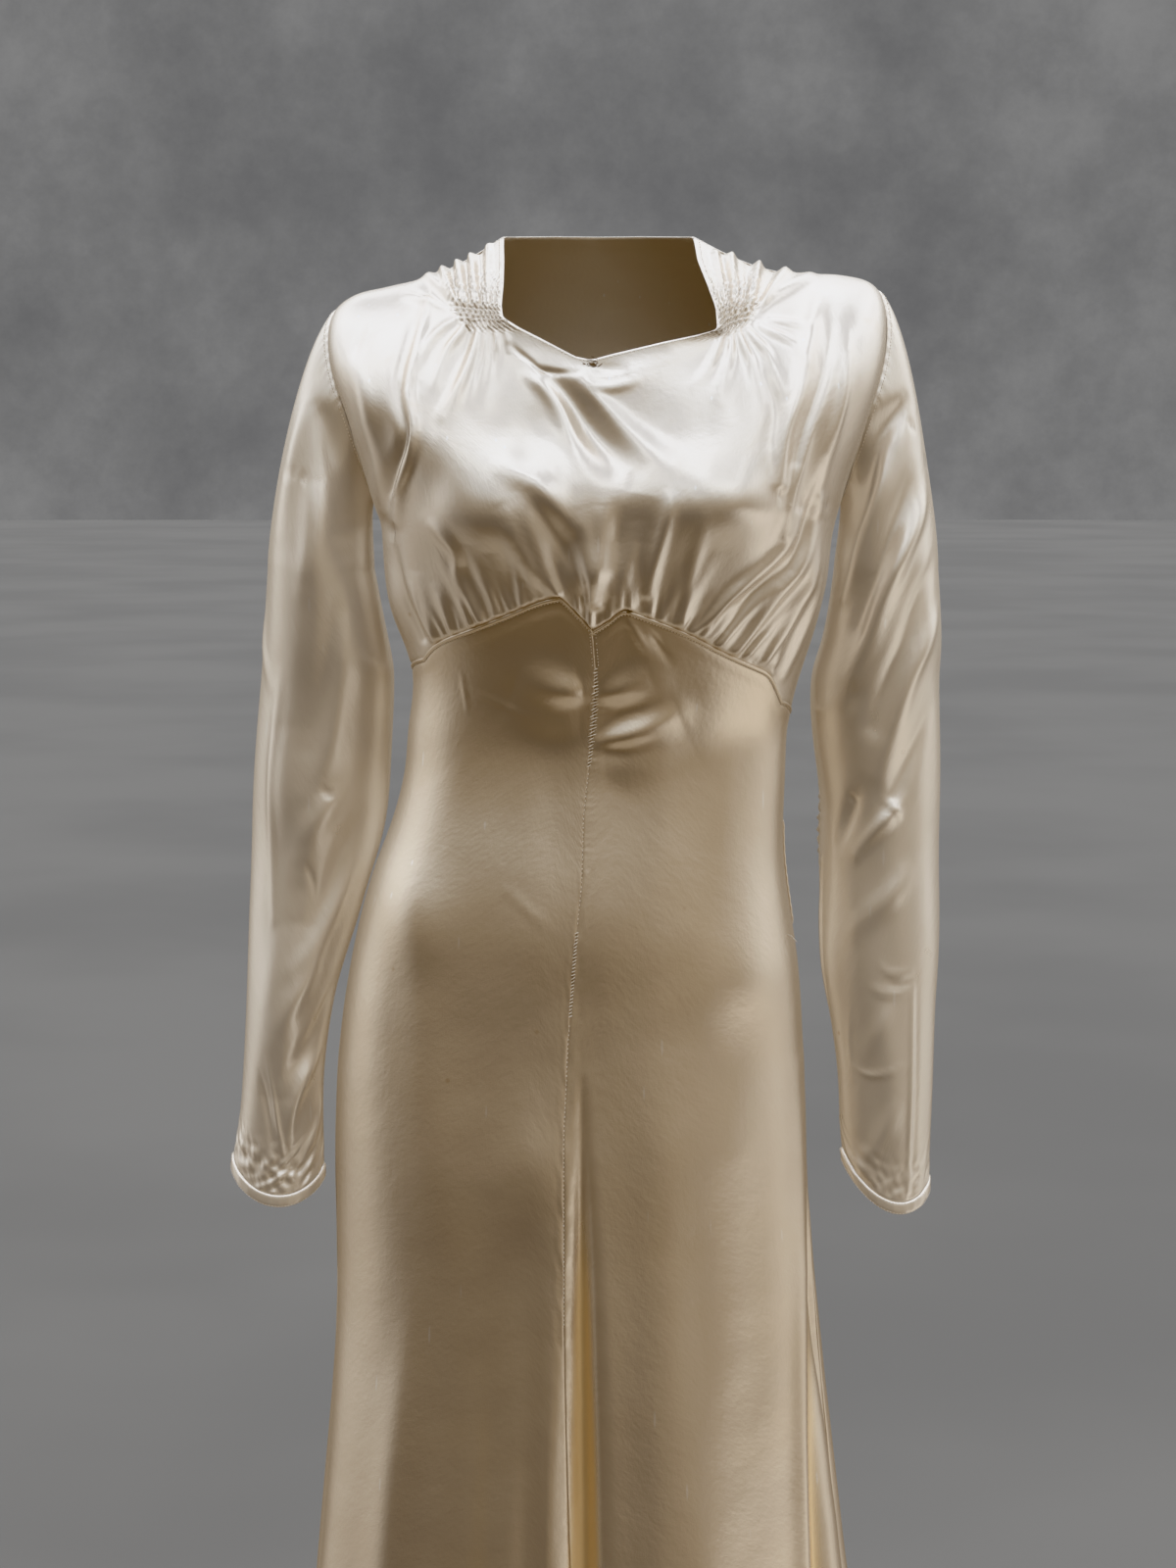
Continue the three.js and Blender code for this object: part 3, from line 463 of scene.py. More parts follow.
# ---- bodice ----
FRONT_FOLDS = folds("""# x, z, half width, height
# below the neck: the wide trough with a ridge on each side
-30 -97 6 -1, -21 -108 8 -4, -6 -126 10 -5.5, 6 -141 10 -4.5, 20 -158 11 -1.5
-43 -98 5 1, -33 -106 5 3, -23 -120 6 3.6, -15 -138 7 3, -4 -157 9 1
-11 -101 5 1, -1 -113 6 3.4, 11 -127 8 4, 28 -141 9 3.6, 48 -153 10 1.5
# the pit under the knot, the ridge that cups it and the crease along the facing
0 -89 4 -1.4, 6 -91 5 -2.2, 15 -92 4 -1.2
-8 -99 3.5 0.5, 3 -105 4 1.4, 17 -104 4.5 1.5, 30 -98 5 0.4
-55 -77 2.2 -0.5, -44 -87 2.2 -1.4, -37 -93 2.2 -1.6, -27 -95 2.4 -1.2, -11 -95 2.4 -0.4
-46 -86 1.6 0.4, -40 -92 1.8 1.2, -34 -97 2 0.5
# ridges from the bust to the centre and the point of the seam
-68 -151 8 0.5, -46 -161 8 3, -29 -175 8 3.2, -16 -191 7 1.5
-60 -179 7 0.5, -52 -197 7 3.2, -40 -218 6.5 4, -26 -235 5 3
-45 -168 7 -0.5, -30 -191 7 -2.6, -16 -214 6 -2.4, -8 -236 4 -1.5
-10 -181 6 0.5, -6 -207 6 2.6, -3 -238 4 2.6
6 -179 5 0.5, 4 -207 5 2.8, 1 -242 3.5 2.6
20 -169 8 -0.4, 16 -194 9 -2.2, 13 -226 7 -1.4
50 -169 5 0.5, 45 -188 5 3, 38 -216 4.5 2.8, 33 -235 4 1.5
33 -172 9 -0.5, 29 -197 9 -2.5, 26 -226 7 -1
-109 -189 5 0.4, -96 -200 4.5 2.4, -89 -213 4 2.8, -88 -226 4 2.4, -80 -243 3.6 2.4, -73 -259 3 2
70 -188 5 0.4, 65 -207 5 2, 59 -232 4 2, 55 -253 3 1.2
# long folds from the shoulders down to the armholes and the sides
-111 -47 3 1, -116 -73 3.4 3, -122 -107 3.6 3.6, -117 -132 3.6 3.6, -125 -159 4 3.4, -131 -190 5 2 roll 0.6
-124 -107 2 0.5, -118 -130 2.2 1.6, -119 -151 2.2 1.6, -128 -170 2.4 0.8
-129 -102 2 -0.4, -125 -126 2.4 -1.6, -127 -149 2.4 -1.8, -134 -171 3 -0.8
-165 -82 7 0.5, -154 -102 7 3, -148 -127 6 3.4, -142 -151 6 3, -140 -184 6 2
-153 -64 2.4 -0.4, -157 -76 2.4 -1.4, -159 -86 2.4 -0.4
-146 -67 2.6 -0.3, -151 -76 2.6 -1, -155 -85 2.4 -0.3
148 -45 5 0.5, 140 -75 5 2.4, 133 -107 4.6 3.6, 123 -132 4.6 4, 118 -165 5 2 roll -0.5
156 -62 3 -0.4, 149 -94 3.4 -2, 138 -126 3.4 -2.4, 130 -151 4 -1
166 -68 4 0.4, 163 -100 4 2.4, 157 -126 4 3, 147 -158 5 2.4, 144 -183 5 1.4
141 -126 2.4 0.3, 136 -145 2.4 1.8, 128 -171 2.4 2, 121 -199 2.6 1
147 -151 2.4 -0.3, 141 -178 2.8 -1.8, 131 -209 3 -1.8, 120 -229 3 -0.6
70 -264 3 1.5, 81 -244 4 3.4, 99 -228 4.6 4, 120 -209 5 3.4, 130 -187 4.6 1.6 roll 0.4
92 -275 3 1.5, 108 -252 4 3, 123 -232 4.4 3.4, 138 -206 4.6 2.6, 145 -178 4.6 1 roll 0.4
113 -284 3 1, 128 -254 4 2.8, 141 -222 4.4 3, 150 -188 4.6 1 roll 0.4
125 -295 3 1, 137 -266 3.4 2.4, 147 -230 4 2.4, 154 -197 4 0.8
85 -259 3 -0.5, 99 -241 3.6 -2, 116 -223 4 -1.6, 128 -206 4 -0.4
-141 -199 5 0.5, -138 -232 5 2.6, -129 -271 4 2.2, -125 -293 3 0.8
-132 -210 3 -0.4, -126 -240 3 -1.8, -114 -269 3 -1.6
-121 -233 2.4 0.3, -115 -252 2.4 1.8, -106 -270 2.4 1.6
# tails of the fans under the shirring
-75 -63 3 1.5, -79 -79 3.4 3.6, -86 -99 4 3.4, -97 -123 5 1 roll 0.5
-83 -61 2.4 1.2, -91 -72 2.8 2.8, -98 -83 3.4 2.2, -105 -102 4 0.6
-90 -59 2.4 1.2, -102 -67 3 2.8, -112 -81 3.4 2, -116 -97 4 0.5
-71 -63 2 1.2, -71 -75 2.6 2.6, -73 -91 3.4 1.8, -78 -113 4 0.4
-66 -63 1.8 1, -64 -73 2.2 2, -64 -84 2.8 1, -65 -97 3 0.3
-62 -62 1.6 0.8, -58 -70 2 1.4, -56 -80 2.4 0.4
83 -66 2 1.2, 80 -77 2.6 2.4, 73 -93 3.4 1.2, 64 -104 4 0.3
88 -68 2 1.2, 88 -80 2.6 2.4, 84 -97 3.4 1, 80 -113 4 0.3
93 -67 2 1.4, 97 -79 2.4 3, 101 -89 3 1.6, 104 -102 4 0.4
99 -66 2.2 1.4, 107 -76 2.8 2.8, 114 -86 3.4 1.4, 121 -104 4 0.4
106 -92 4 -0.5, 115 -115 5 -2.4, 112 -137 6 -1
108 -64 2.4 1.2, 119 -70 3 2.2, 130 -76 3.4 1, 138 -89 4 0.3
115 -60 2.4 1, 127 -62 3 1.8, 140 -64 4 0.6
""")
# pleats above the shirring, up to the shoulder seam
YOKE_PLEATS = folds("""
-92 -48 2.4 2, -98 -37 3 4, -102 -26 3.6 4.4 roll 0.3
-87 -49 2.2 2, -90 -32 2.8 4.2, -93 -18 3.4 4.8 roll 0.3
-79 -50 2.2 2, -81 -31 2.8 4, -84 -12 3.2 4.4 roll 0.3
-71 -52 2 1.6, -71 -31 2.6 3.4, -71 -9 3 3.8
-97 -45 2.6 1.4, -108 -33 3.4 3, -118 -26 4 3
-100 -52 2.6 1, -114 -46 3 2, -126 -43 3.4 1
85 -59 2 1.6, 83 -38 2.6 3.8, 80 -16 3.2 4.2
92 -56 2.2 2, 91 -38 2.8 4, 90 -18 3.4 4.6 roll -0.3
100 -54 2.2 2, 105 -37 2.8 4, 110 -20 3.4 4.6 roll -0.3
109 -51 2.4 1.8, 119 -37 3.2 3.8, 128 -26 3.8 4 roll -0.3
113 -48 2.8 1.2, 128 -38 3.6 2.6, 144 -30 4 2
""")
GATHERS = [  # foot, lean for each mm of height, length, height
    (-103, -0.35, 40, 2.2), (-91, -0.35, 30, 1.6), (-81, -0.35, 46, 2.4), (-73, -0.35, 34, 1.8),
    (-63, -0.36, 44, 2.4), (-54, -0.3, 36, 2), (-45, -0.25, 50, 2.4), (-35, -0.3, 34, 1.8),
    (-24, -0.35, 60, 2.4), (-12, -0.1, 40, 1.8), (-3, 0.05, 70, 2.4), (7, 0.1, 46, 2),
    (16, 0.15, 52, 2.4), (24, 0.1, 40, 2), (33, 0.1, 50, 2.2), (43, 0.3, 36, 1.8), (52, 0.5, 44, 2.2),
    (62, 0.9, 50, 2.4), (70, 0.8, 34, 1.8), (79, 0.9, 44, 2.4), (88, 0.8, 32, 1.8), (97, 0.85, 46, 2.4),
    (107, 0.6, 34, 2), (115, 0.5, 40, 2),
]
SHIRRING = [(-48, -17), (48, 16)]  # angle of the middle at the neck edge, drift for each ring outwards
PUFF = {"from": 0.03, "step": 0.08, "count": 9, "height": 3.0}
STITCH_ROW = {"step": 2.7, "count": 4}
PLEAT_FADE = {"shoulder": 17, "centre": 4}
PACKED = {"angle": 52, "spread": 15, "more": 1.9}  # where the columns stand closer, and by how much
BACK_GATHERS = {"first": -150, "step": 12, "count": 26}
BODICE_FOLD_SHADE, SKIRT_FOLD_SHADE = (4.4, 9), (3, 8)  # depths at which the painted amber shade of deep folds starts and is full
FOLD_SHADE_FROM, FOLD_SHADE_FADE = 570, 140  # how far down the skirt the painted shade in its folds starts, and over how far it grows in
UNDERBUST = [  # the runs of the seam between its corners: x, z
    [(-114, -283), (-103, -271), (-81, -261), (-55, -250), (-36, -242), (-23, -239)],
    [(-23, -239), (-12, -250), (-2, -261)],
    [(-2, -261), (9, -254), (17, -248), (24, -249)],
    [(24, -249), (40, -255), (61, -264), (81, -275), (105, -287), (116, -295), (124, -312)],
]
SEAM_HEIGHT = -262     # about, of the underbust seam in front
FRONT_BEND, BACK_BEND = -17, 19
SIDE_SEAM_TOP = {"right": -293, "left": -324}
CENTRE_SEAM = np.array([  # height, x
    (-261, -2), (-285, 0), (-315, -1), (-347, -4), (-383, -8), (-425, -9), (-464, -13), (-529, -18),
    (-592, -21), (-718, -21), (-1000, -17), (-1400, -14),
], float)


def underbust_line():
    """Angle and height of the underbust seam from side to side."""
    runs = [through(np.array(run, float), 8) for run in UNDERBUST]
    x, z = np.concatenate([run if k == 0 else run[1:] for k, run in enumerate(runs)]).T
    angle = angle_at(x, z)
    ends = SIDE_SEAM_TOP
    return np.concatenate([[-SIDE], angle, [SIDE]]), np.concatenate([[ends["right"]], z, [ends["left"]]])


UNDERBUST_ANGLE, UNDERBUST_Z = underbust_line()


def underbust(angle):
    return np.interp(angle, UNDERBUST_ANGLE, UNDERBUST_Z)


def armhole_angle(level, bend):
    """Angle of the armhole seam, which bends forwards or back from the side by so many degrees."""
    return SIDE + bend * np.sin(math.pi * np.clip(level - SHOULDER, 0, 2) / 2) ** 0.8


def shirring(angle, level):
    """Puffs between the rows of gathering stitches at each side of the neck."""
    end = PUFF["from"] + PUFF["step"] * PUFF["count"]
    height = np.zeros(angle.shape)
    reach = STITCH_ROW["step"] * STITCH_ROW["count"] * 0.5
    for k, (middle, drift) in enumerate(SHIRRING):
        b = (angle - (middle + drift * level)) * np.sign(middle)
        wander = 0.012 * np.sin(b * 1.9 + 5 * k) + 0.008 * np.sin(b * 4.3)
        row = np.floor((b + reach) / STITCH_ROW["step"])
        shift = 0.5 * (row % 2) * 0.35
        along = (level - PUFF["from"] + wander) / PUFF["step"] + shift
        puffs = (0.5 - 0.5 * np.cos(along * 2 * math.pi)) ** 0.7
        rows = 0.5 - 0.5 * np.cos(b / STITCH_ROW["step"] * 2 * math.pi)
        inside = np.abs(b) <= reach
        across = np.where(inside, 0.25 + 0.75 * rows ** 0.7, 0.7)
        fade = np.where(b > 0, PLEAT_FADE["shoulder"], PLEAT_FADE["centre"])
        fading = np.where(inside, 1, bell((np.abs(b) - reach) / fade))
        ends = smooth(level / PUFF["from"]) * smooth((end + PUFF["step"] - level) / (2 * PUFF["step"]))
        height += PUFF["height"] * puffs * across * fading * ends * (np.abs(b) < 60)
    return height


def gather_lines():
    """The large gathers of the underbust seam, with smaller ones let in between them."""
    rows = [(foot, lean, 1.15 * length, 1.25 * height, 2.4) for foot, lean, length, height in GATHERS]
    for k in range(len(GATHERS) - 1):
        a, b = GATHERS[k], GATHERS[k + 1]
        for f in (0.36, 0.7):
            foot = mix(a[0], b[0], f) + RNG.uniform(-0.8, 0.8)
            lean = mix(a[1], b[1], f) + RNG.uniform(-0.12, 0.12)
            rows.append((foot, lean, RNG.uniform(12, 34), RNG.uniform(0.7, 1.6), RNG.uniform(1.2, 1.8)))
    return rows


def gathers(x, z):
    height = np.zeros(x.shape)
    for foot, lean, length, tall, wide in gather_lines():
        above = z - float(underbust(angle_at(foot, SEAM_HEIGHT)))
        near = (above > -4) & (above < length) & (np.abs(x - foot) < 75)
        up = np.clip(above, 0, None)
        centre = foot + lean * up + 1.2 * np.sin(up / 13 + foot)
        f = np.clip(above / length, 0, 1)
        shape = (1 - f) ** 0.8 * (0.55 + 0.45 * smooth(up / 5))
        height += np.where(near, tall * shape * bell((x - centre) / (wide * (1 + up / 30))), 0)
    return height


def column_spread(count, weight):
    """Values from -1 to 1, closer together where weight of them is larger."""
    fine = np.linspace(-1, 1, 2001)
    total = np.cumsum(weight(fine))
    total = (total - total[0]) / (total[-1] - total[0])
    return np.interp(np.linspace(0, 1, count), total, fine)


def bodice_grid(level, lower, upper, angles, waist):
    """Angles and ring numbers of a bodice piece: upper at these levels, then rows down to the waist."""
    angle = np.concatenate([upper, np.repeat(angles[None], len(lower), 0)])
    down = level_at(mix(ARMPIT_Z, waist(angles) - TUCK, lower[:, None]))
    return angle, np.concatenate([np.repeat(level[:, None], len(angles), 1), down])


def clear_of_seam(below):
    """0 beside the waist seam, where the cloth lies flat, and 1 away from it."""
    return smooth((below - 1.6) / 3)


def bodice_front(looks):
    level = np.concatenate([
        [0, 0.008, 0.018], np.linspace(0.03, 1.0, 72), np.linspace(1.03, 2, 30), np.linspace(2.04, 4, 48)])
    even = np.linspace(-1, 1, 331)
    packed = column_spread(
        len(even), lambda u: 1 + PACKED["more"] * bell((abs(u) * SIDE - PACKED["angle"]) / PACKED["spread"]))
    u = mix(packed, even, smooth((level - 0.7) / 1.6)[:, None])   # even below the shoulder
    upper = u * armhole_angle(level, FRONT_BEND)[:, None]
    angle, number = bodice_grid(level, spaced(72, (0.006, 0.014, 0.024))[1:], upper, even * SIDE, underbust)
    base = cloth(angle, number)
    x, z = base[..., 0], base[..., 2]
    above, below, right, left = distances(base)
    facing = smooth((SIDE - np.abs(angle)) / 8) * smooth(number / 0.5)
    relief = facing * creases(x, z, FRONT_FOLDS)
    relief += smooth(number / 0.3) * creases(x, z, YOKE_PLEATS)
    relief += shirring(angle, number) + facing * swells(x, z)
    relief += 0.4 * soft_noise(x * 1.5, z * 0.8, 3, 40) * smooth(number - 0.6)
    relief = (relief + gathers(x, z)) * clear_of_seam(below)
    relief += dip(right, *SEAM) + dip(left, *SEAM) + dip(above, *EDGE) + dip(below, *UNDER_LAP)
    # painted shade: the deepest folds of the bodice are tinted amber
    return shell("bodice_front_satin", base, relief, looks=looks, painted_fold_shade=0.6 * sunk(relief, *BODICE_FOLD_SHADE))


BACK_FOLDS = folds("""# across the back in mm from its centre, towards the wearer's right; height
-62 -20 6 0.5, -74 -60 8 2.4, -82 -110 9 2.4, -86 -150 9 0.6
58 -22 6 0.5, 72 -64 8 2.2, 84 -104 9 2.6, 88 -156 9 0.6
-110 -84 6 0.4, -104 -130 7 2.4, -92 -176 8 2, -70 -214 9 0.5
112 -80 6 0.4, 106 -124 7 2.2, 92 -170 8 2.2, 76 -206 9 0.5
-126 -176 5 0.5, -108 -206 6 2.2, -80 -226 7 0.5
128 -172 5 0.5, 112 -200 6 2.2, 88 -224 7 0.5
-4 -60 9 0.4, -6 -110 11 -2, -2 -170 12 -2.2, 2 -230 10 -0.4
-120 -240 5 0.4, -70 -262 6 2, -16 -270 6 1, 30 -272 6 0.3
124 -246 5 0.4, 80 -272 6 2.2, 26 -284 6 1, -14 -288 6 0.3
-122 -268 5 0.4, -60 -292 5 1.8, 0 -298 5 0.4
""")


def back_across(angle):
    """Distance from the centre back, about in mm, towards the wearer's right."""
    return (angle - 180) * BACK_MM


def back_waist(angle):
    return mix(SIDE_SEAM_TOP["left"], SIDE_SEAM_TOP["right"], (angle - SIDE) / 180)


def bodice_back(looks):
    level = np.concatenate([[0, 0.012, 0.03], np.linspace(0.06, 2, 44), np.linspace(2.05, 4, 38)])
    even = np.linspace(0, 1, 199)
    edge = armhole_angle(level, BACK_BEND)[:, None]
    upper, lower = mix(edge, 360 - edge, even), spaced(46, (0.008, 0.018))[1:]
    angle, number = bodice_grid(level, lower, upper, mix(SIDE, 270, even), back_waist)
    base = cloth(angle, number)
    across, z = back_across(angle), base[..., 2]
    above, below, left, right = distances(base)
    facing = smooth((90 - np.abs(angle - 180)) / 10)
    relief = facing * creases(across, z, BACK_FOLDS) * smooth(number / 0.4)
    for k in range(BACK_GATHERS["count"]):
        foot = BACK_GATHERS["first"] + BACK_GATHERS["step"] * k + RNG.uniform(-3, 3)
        tall, long = RNG.uniform(0.5, 1.5), RNG.uniform(12, 34)
        lean = foot / 260 + RNG.uniform(-0.1, 0.1)
        waist_z = float(back_waist(180 + foot / BACK_MM))
        relief += facing * crease(across, z, [
            (foot, waist_z, 2.2, tall), (foot - lean * long * 0.5, waist_z + long * 0.5, 2.8, tall * 0.7),
            (foot - lean * long, waist_z + long, 3.4, 0.1)])
    relief += 0.5 * soft_noise(across, z, 5, 36) * smooth(number - 0.3)
    relief *= clear_of_seam(below)
    relief += dip(left, *SEAM) + dip(right, *SEAM) + dip(above, *EDGE) + dip(below, *UNDER_LAP)
    return shell("bodice_back_satin", base, relief, looks=looks)


# ---- sleeves ----
ARMHOLE_LEVELS = np.array([2, 2.14, 2.34, 2.6, 2.9, 3.2, 3.5, 3.74, 3.9, 4])
CAP = {"out": (9, 56), "forward": 8, "fall": (14, 30), "arrive": (24, 120)}
ARM = np.array([  # z, y, half depth; x and half width of the right arm; x and half width of the left arm
    (-226, 2, 52, -186, 36, 197, 35), (-272, 3, 52, -183, 42, 195, 40), (-300, 5, 51, -182, 45, 191, 43),
    (-340, 7, 50, -185, 46, 192, 43), (-380, 7, 50, -188, 46, 195, 41), (-410, 5, 48, -191, 44, 195, 41),
    (-441, 1, 46, -196, 40, 195, 41), (-466, -3, 44, -200, 37, 195, 41), (-495, -8, 41, -205, 33, 195, 40),
    (-523, -13, 38, -209, 30, 196, 37), (-567, -20, 34, -213, 28, 198, 33),
    (-605, -25, 30, -215, 29, 198, 31), (-631, -28, 28, -217, 31, 199, 29),
    (-672, -32, 28, -218, 32, 200, 28),
], float)
RIGHT_SLEEVE = {  # columns: where z, x, y, half width and half depth stand in the table
    "side": -1, "cuff": {"z": -636, "dip": 18, "slant": -4}, "pucker": 1.0, "columns": (0, 3, 1, 4, 2)}
LEFT_SLEEVE = {
    "side": 1, "cuff": {"z": -638, "dip": 20, "slant": 9}, "pucker": 0.35, "columns": (0, 5, 1, 6, 2)}
# Turns round an arm are in degrees: 0 outside, 90 in front, 180 at the body and 270 behind.
BACK_SLEEVE_FOLDS = folds("""# turn, z, half width, height
250 -130 6 -1, 262 -170 9 -3.5, 274 -230 10 -3, 280 -300 11 -1
236 -150 7 0.5, 248 -210 9 3, 262 -280 10 3, 272 -350 10 0.8
300 -130 8 0.4, 298 -190 9 2.4, 290 -250 9 2, 284 -300 9 0.5
215 -250 8 -0.5, 236 -320 9 -3, 252 -390 9 -2.6, 262 -440 9 -0.6
204 -300 7 0.5, 222 -350 8 2.6, 240 -400 8 2.4, 252 -450 8 0.6
318 -340 8 0.5, 290 -390 9 2.6, 262 -440 9 2.6, 238 -490 8 0.6
326 -420 7 -0.4, 300 -460 8 -2.2, 272 -500 8 -1.8, 250 -540 7 -0.5
210 -520 6 0.4, 236 -550 7 2, 262 -576 7 1.8, 286 -600 6 0.5
332 -540 5 0.3, 306 -566 6 1.6, 280 -590 6 1.2, 262 -606 5 0.3
""")
RIGHT_FOLDS = folds("""
# the broad swelling of the forearm
86 -462 22 0.6, 88 -520 24 5, 86 -580 22 0.8
60 -330 14 0.4, 66 -372 16 3, 84 -410 16 0.6
# dark peak below the cap and the trough down the arm
64 -116 5 -1, 75 -126 8 -3.5, 93 -147 11 -4.5, 111 -171 12 -3, 123 -210 12 -1
48 -107 8 0.5, 47 -133 9 2.5, 45 -159 9 2.5, 43 -198 10 1
77 -165 8 0.5, 84 -184 10 3, 86 -210 10 3, 79 -236 10 1
40 -159 1.6 -0.5, 47 -161 1.8 -1.2, 57 -162 1.6 -0.4
64 -163 2 -1, 68 -164 2 -1
# soft folds towards the elbow
110 -236 9 -0.5, 99 -269 12 -3, 91 -308 12 -3, 84 -341 10 -1
114 -262 6 0.5, 104 -302 7 2.4, 99 -341 8 2.6, 88 -374 8 1
47 -296 5 0.3, 46 -330 5 1.5, 47 -369 4 1.5, 51 -409 4 1.3, 62 -461 4 0.6
14 -252 4 0.3, 14 -278 5 1.4, 36 -304 5 0.5
96 -372 1.8 -1, 101 -374 2 -1.6, 106 -373 1.8 -0.6
109 -368 6 0.5, 100 -382 8 3, 89 -401 9 3.4, 85 -427 9 1
130 -389 6 -0.5, 120 -415 8 -2.5, 113 -441 8 -2, 103 -460 8 -0.5
136 -423 6 0.4, 127 -449 7 2.4, 114 -474 8 2.6, 93 -493 8 1
87 -421 1.6 -0.3, 95 -431 1.6 -1, 101 -442 1.6 -0.3
# forearm and wrist
120 -474 5 0.4, 109 -500 9 3.4, 95 -520 9 2.6, 84 -540 8 0.6
152 -510 6 -0.4, 135 -535 8 -2.6, 113 -553 8 -2, 94 -566 6 -0.4
151 -550 5 0.5, 127 -566 7 3.4, 111 -587 7 3, 108 -607 6 1
72 -553 2 0.2, 84 -580 2 1, 91 -600 2 1.3, 101 -620 2 0.4
62 -564 4 -0.3, 74 -586 4 -1.6, 84 -609 4 -1
166 -585 4 0.3, 149 -603 4 2, 131 -616 4 1
""")
LEFT_FOLDS = folds("""
# dark peak below the cap, with folds falling to the inside of the arm
53 -112 5 -1.5, 68 -122 7 -5.1, 90 -136 8 -6, 111 -156 9 -5.2, 127 -185 9 -1.5
73 -75 6 0.8, 81 -101 7 3.6, 98 -126 6 4.5, 115 -147 6 3.6, 127 -162 5 1.5
53 -129 2 -1.5, 48 -130 2 -1.5
31 -152 2 -1.2, 23 -155 2 -1.2
39 -172 6 0.8, 64 -197 7 5.1, 91 -229 8 6, 107 -262 8 5.1, 116 -295 8 2.2 roll 0.3
58 -159 6 -0.8, 83 -191 8 -5.1, 107 -223 8 -5.4, 123 -263 8 -3
87 -152 5 0.8, 103 -178 6 4.2, 125 -210 6 4.5, 142 -244 5 2.1
32 -218 6 -0.6, 61 -249 8 -4.5, 80 -288 8 -4.8, 97 -328 8 -2.2
27 -251 6 0.8, 56 -282 7 4.5, 76 -322 8 4.5, 94 -361 8 1.5
39 -317 6 -0.6, 63 -349 7 -3.3, 88 -381 7 -1.2
# elbow
75 -379 4 0.6, 88 -390 5 3.9, 103 -402 5 3, 118 -416 5 1.4
94 -380 2 0.4, 85 -382 2 1.8, 77 -389 2 0.8
113 -368 6 -0.6, 126 -389 6 -3.6, 135 -410 5 -1
126 -378 1.6 -1.2, 120 -381 1.6 -1.2
64 -421 7 0.4, 82 -441 8 2.4, 101 -454 8 2, 120 -468 7 0.6
# crinkled forearm and wrist
95 -491 2 0.2, 82 -496 2.4 0.8, 63 -494 2 0.4
88 -501 2 -0.2, 76 -504 2.4 -0.8, 58 -500 2 -0.2
105 -505 2.4 0.2, 90 -509 2.6 0.8, 67 -508 2.4 0.5
61 -501 2.4 0.2, 61 -527 2.6 1, 62 -567 3 1.2, 62 -607 3 1.2, 65 -644 3 0.7 roll 0.5
132 -561 2 0.2, 110 -565 2.2 0.8, 84 -562 2 0.6, 62 -558 2 0.2
128 -515 2.4 0.1, 136 -542 2.6 0.6, 136 -568 3 0.2
82 -518 5 0.2, 97 -533 6 1.2, 115 -551 6 0.4
77 -580 7 0.2, 93 -600 8 1.7, 112 -618 8 1.6, 135 -632 6 0.6
161 -618 4 0.3, 137 -626 4 1.4, 114 -636 4 1
156 -635 3 -0.2, 129 -639 3 -1, 106 -643 3 -0.2
# the rolled seam along the inside of the elbow
168 -424 1.6 1, 171 -455 1.6 1.8, 172 -490 1.6 1.6, 172 -524 1.6 0.6
""")
TURNS = 180 + np.arange(216) * 360 / 216
ROUND = 0.75           # mm for each degree round the arm
ARM_RADIUS = 40        # about
ELBOW = {"turn": 172, "z": -402, "wide": 20, "tall": 22, "pitch": 7.5, "height": 3.4}


def sleeve_form(plan):
    """Functions for one sleeve: its limb, and the height of its lower edge, at each turn."""
    side, cuff = plan["side"], plan["cuff"]
    dense = through(ARM[:, plan["columns"]], 10)

    def limb(turn, z):
        at = [np.interp(-z, -dense[:, 0], dense[:, k]) for k in (1, 2, 3, 4)]
        return np.stack([at[0] + side * at[2] * cosd(turn), at[1] - at[3] * sind(turn), z], -1)

    def bottom(turn):
        return cuff["z"] - cuff["dip"] * np.maximum(sind(turn), 0) ** 1.5 - cuff["slant"] * cosd(turn)

    return limb, bottom


def armhole(side, turn):
    """Point of the armhole seam at each turn of the sleeve."""
    turn = turn % 360
    k = np.minimum(turn, 360 - turn) / 20
    level = spline(ARMHOLE_LEVELS[:, None], k)[:, 0]
    angle = armhole_angle(level, np.where(turn <= 180, FRONT_BEND, BACK_BEND))
    return cloth(side * angle, level)


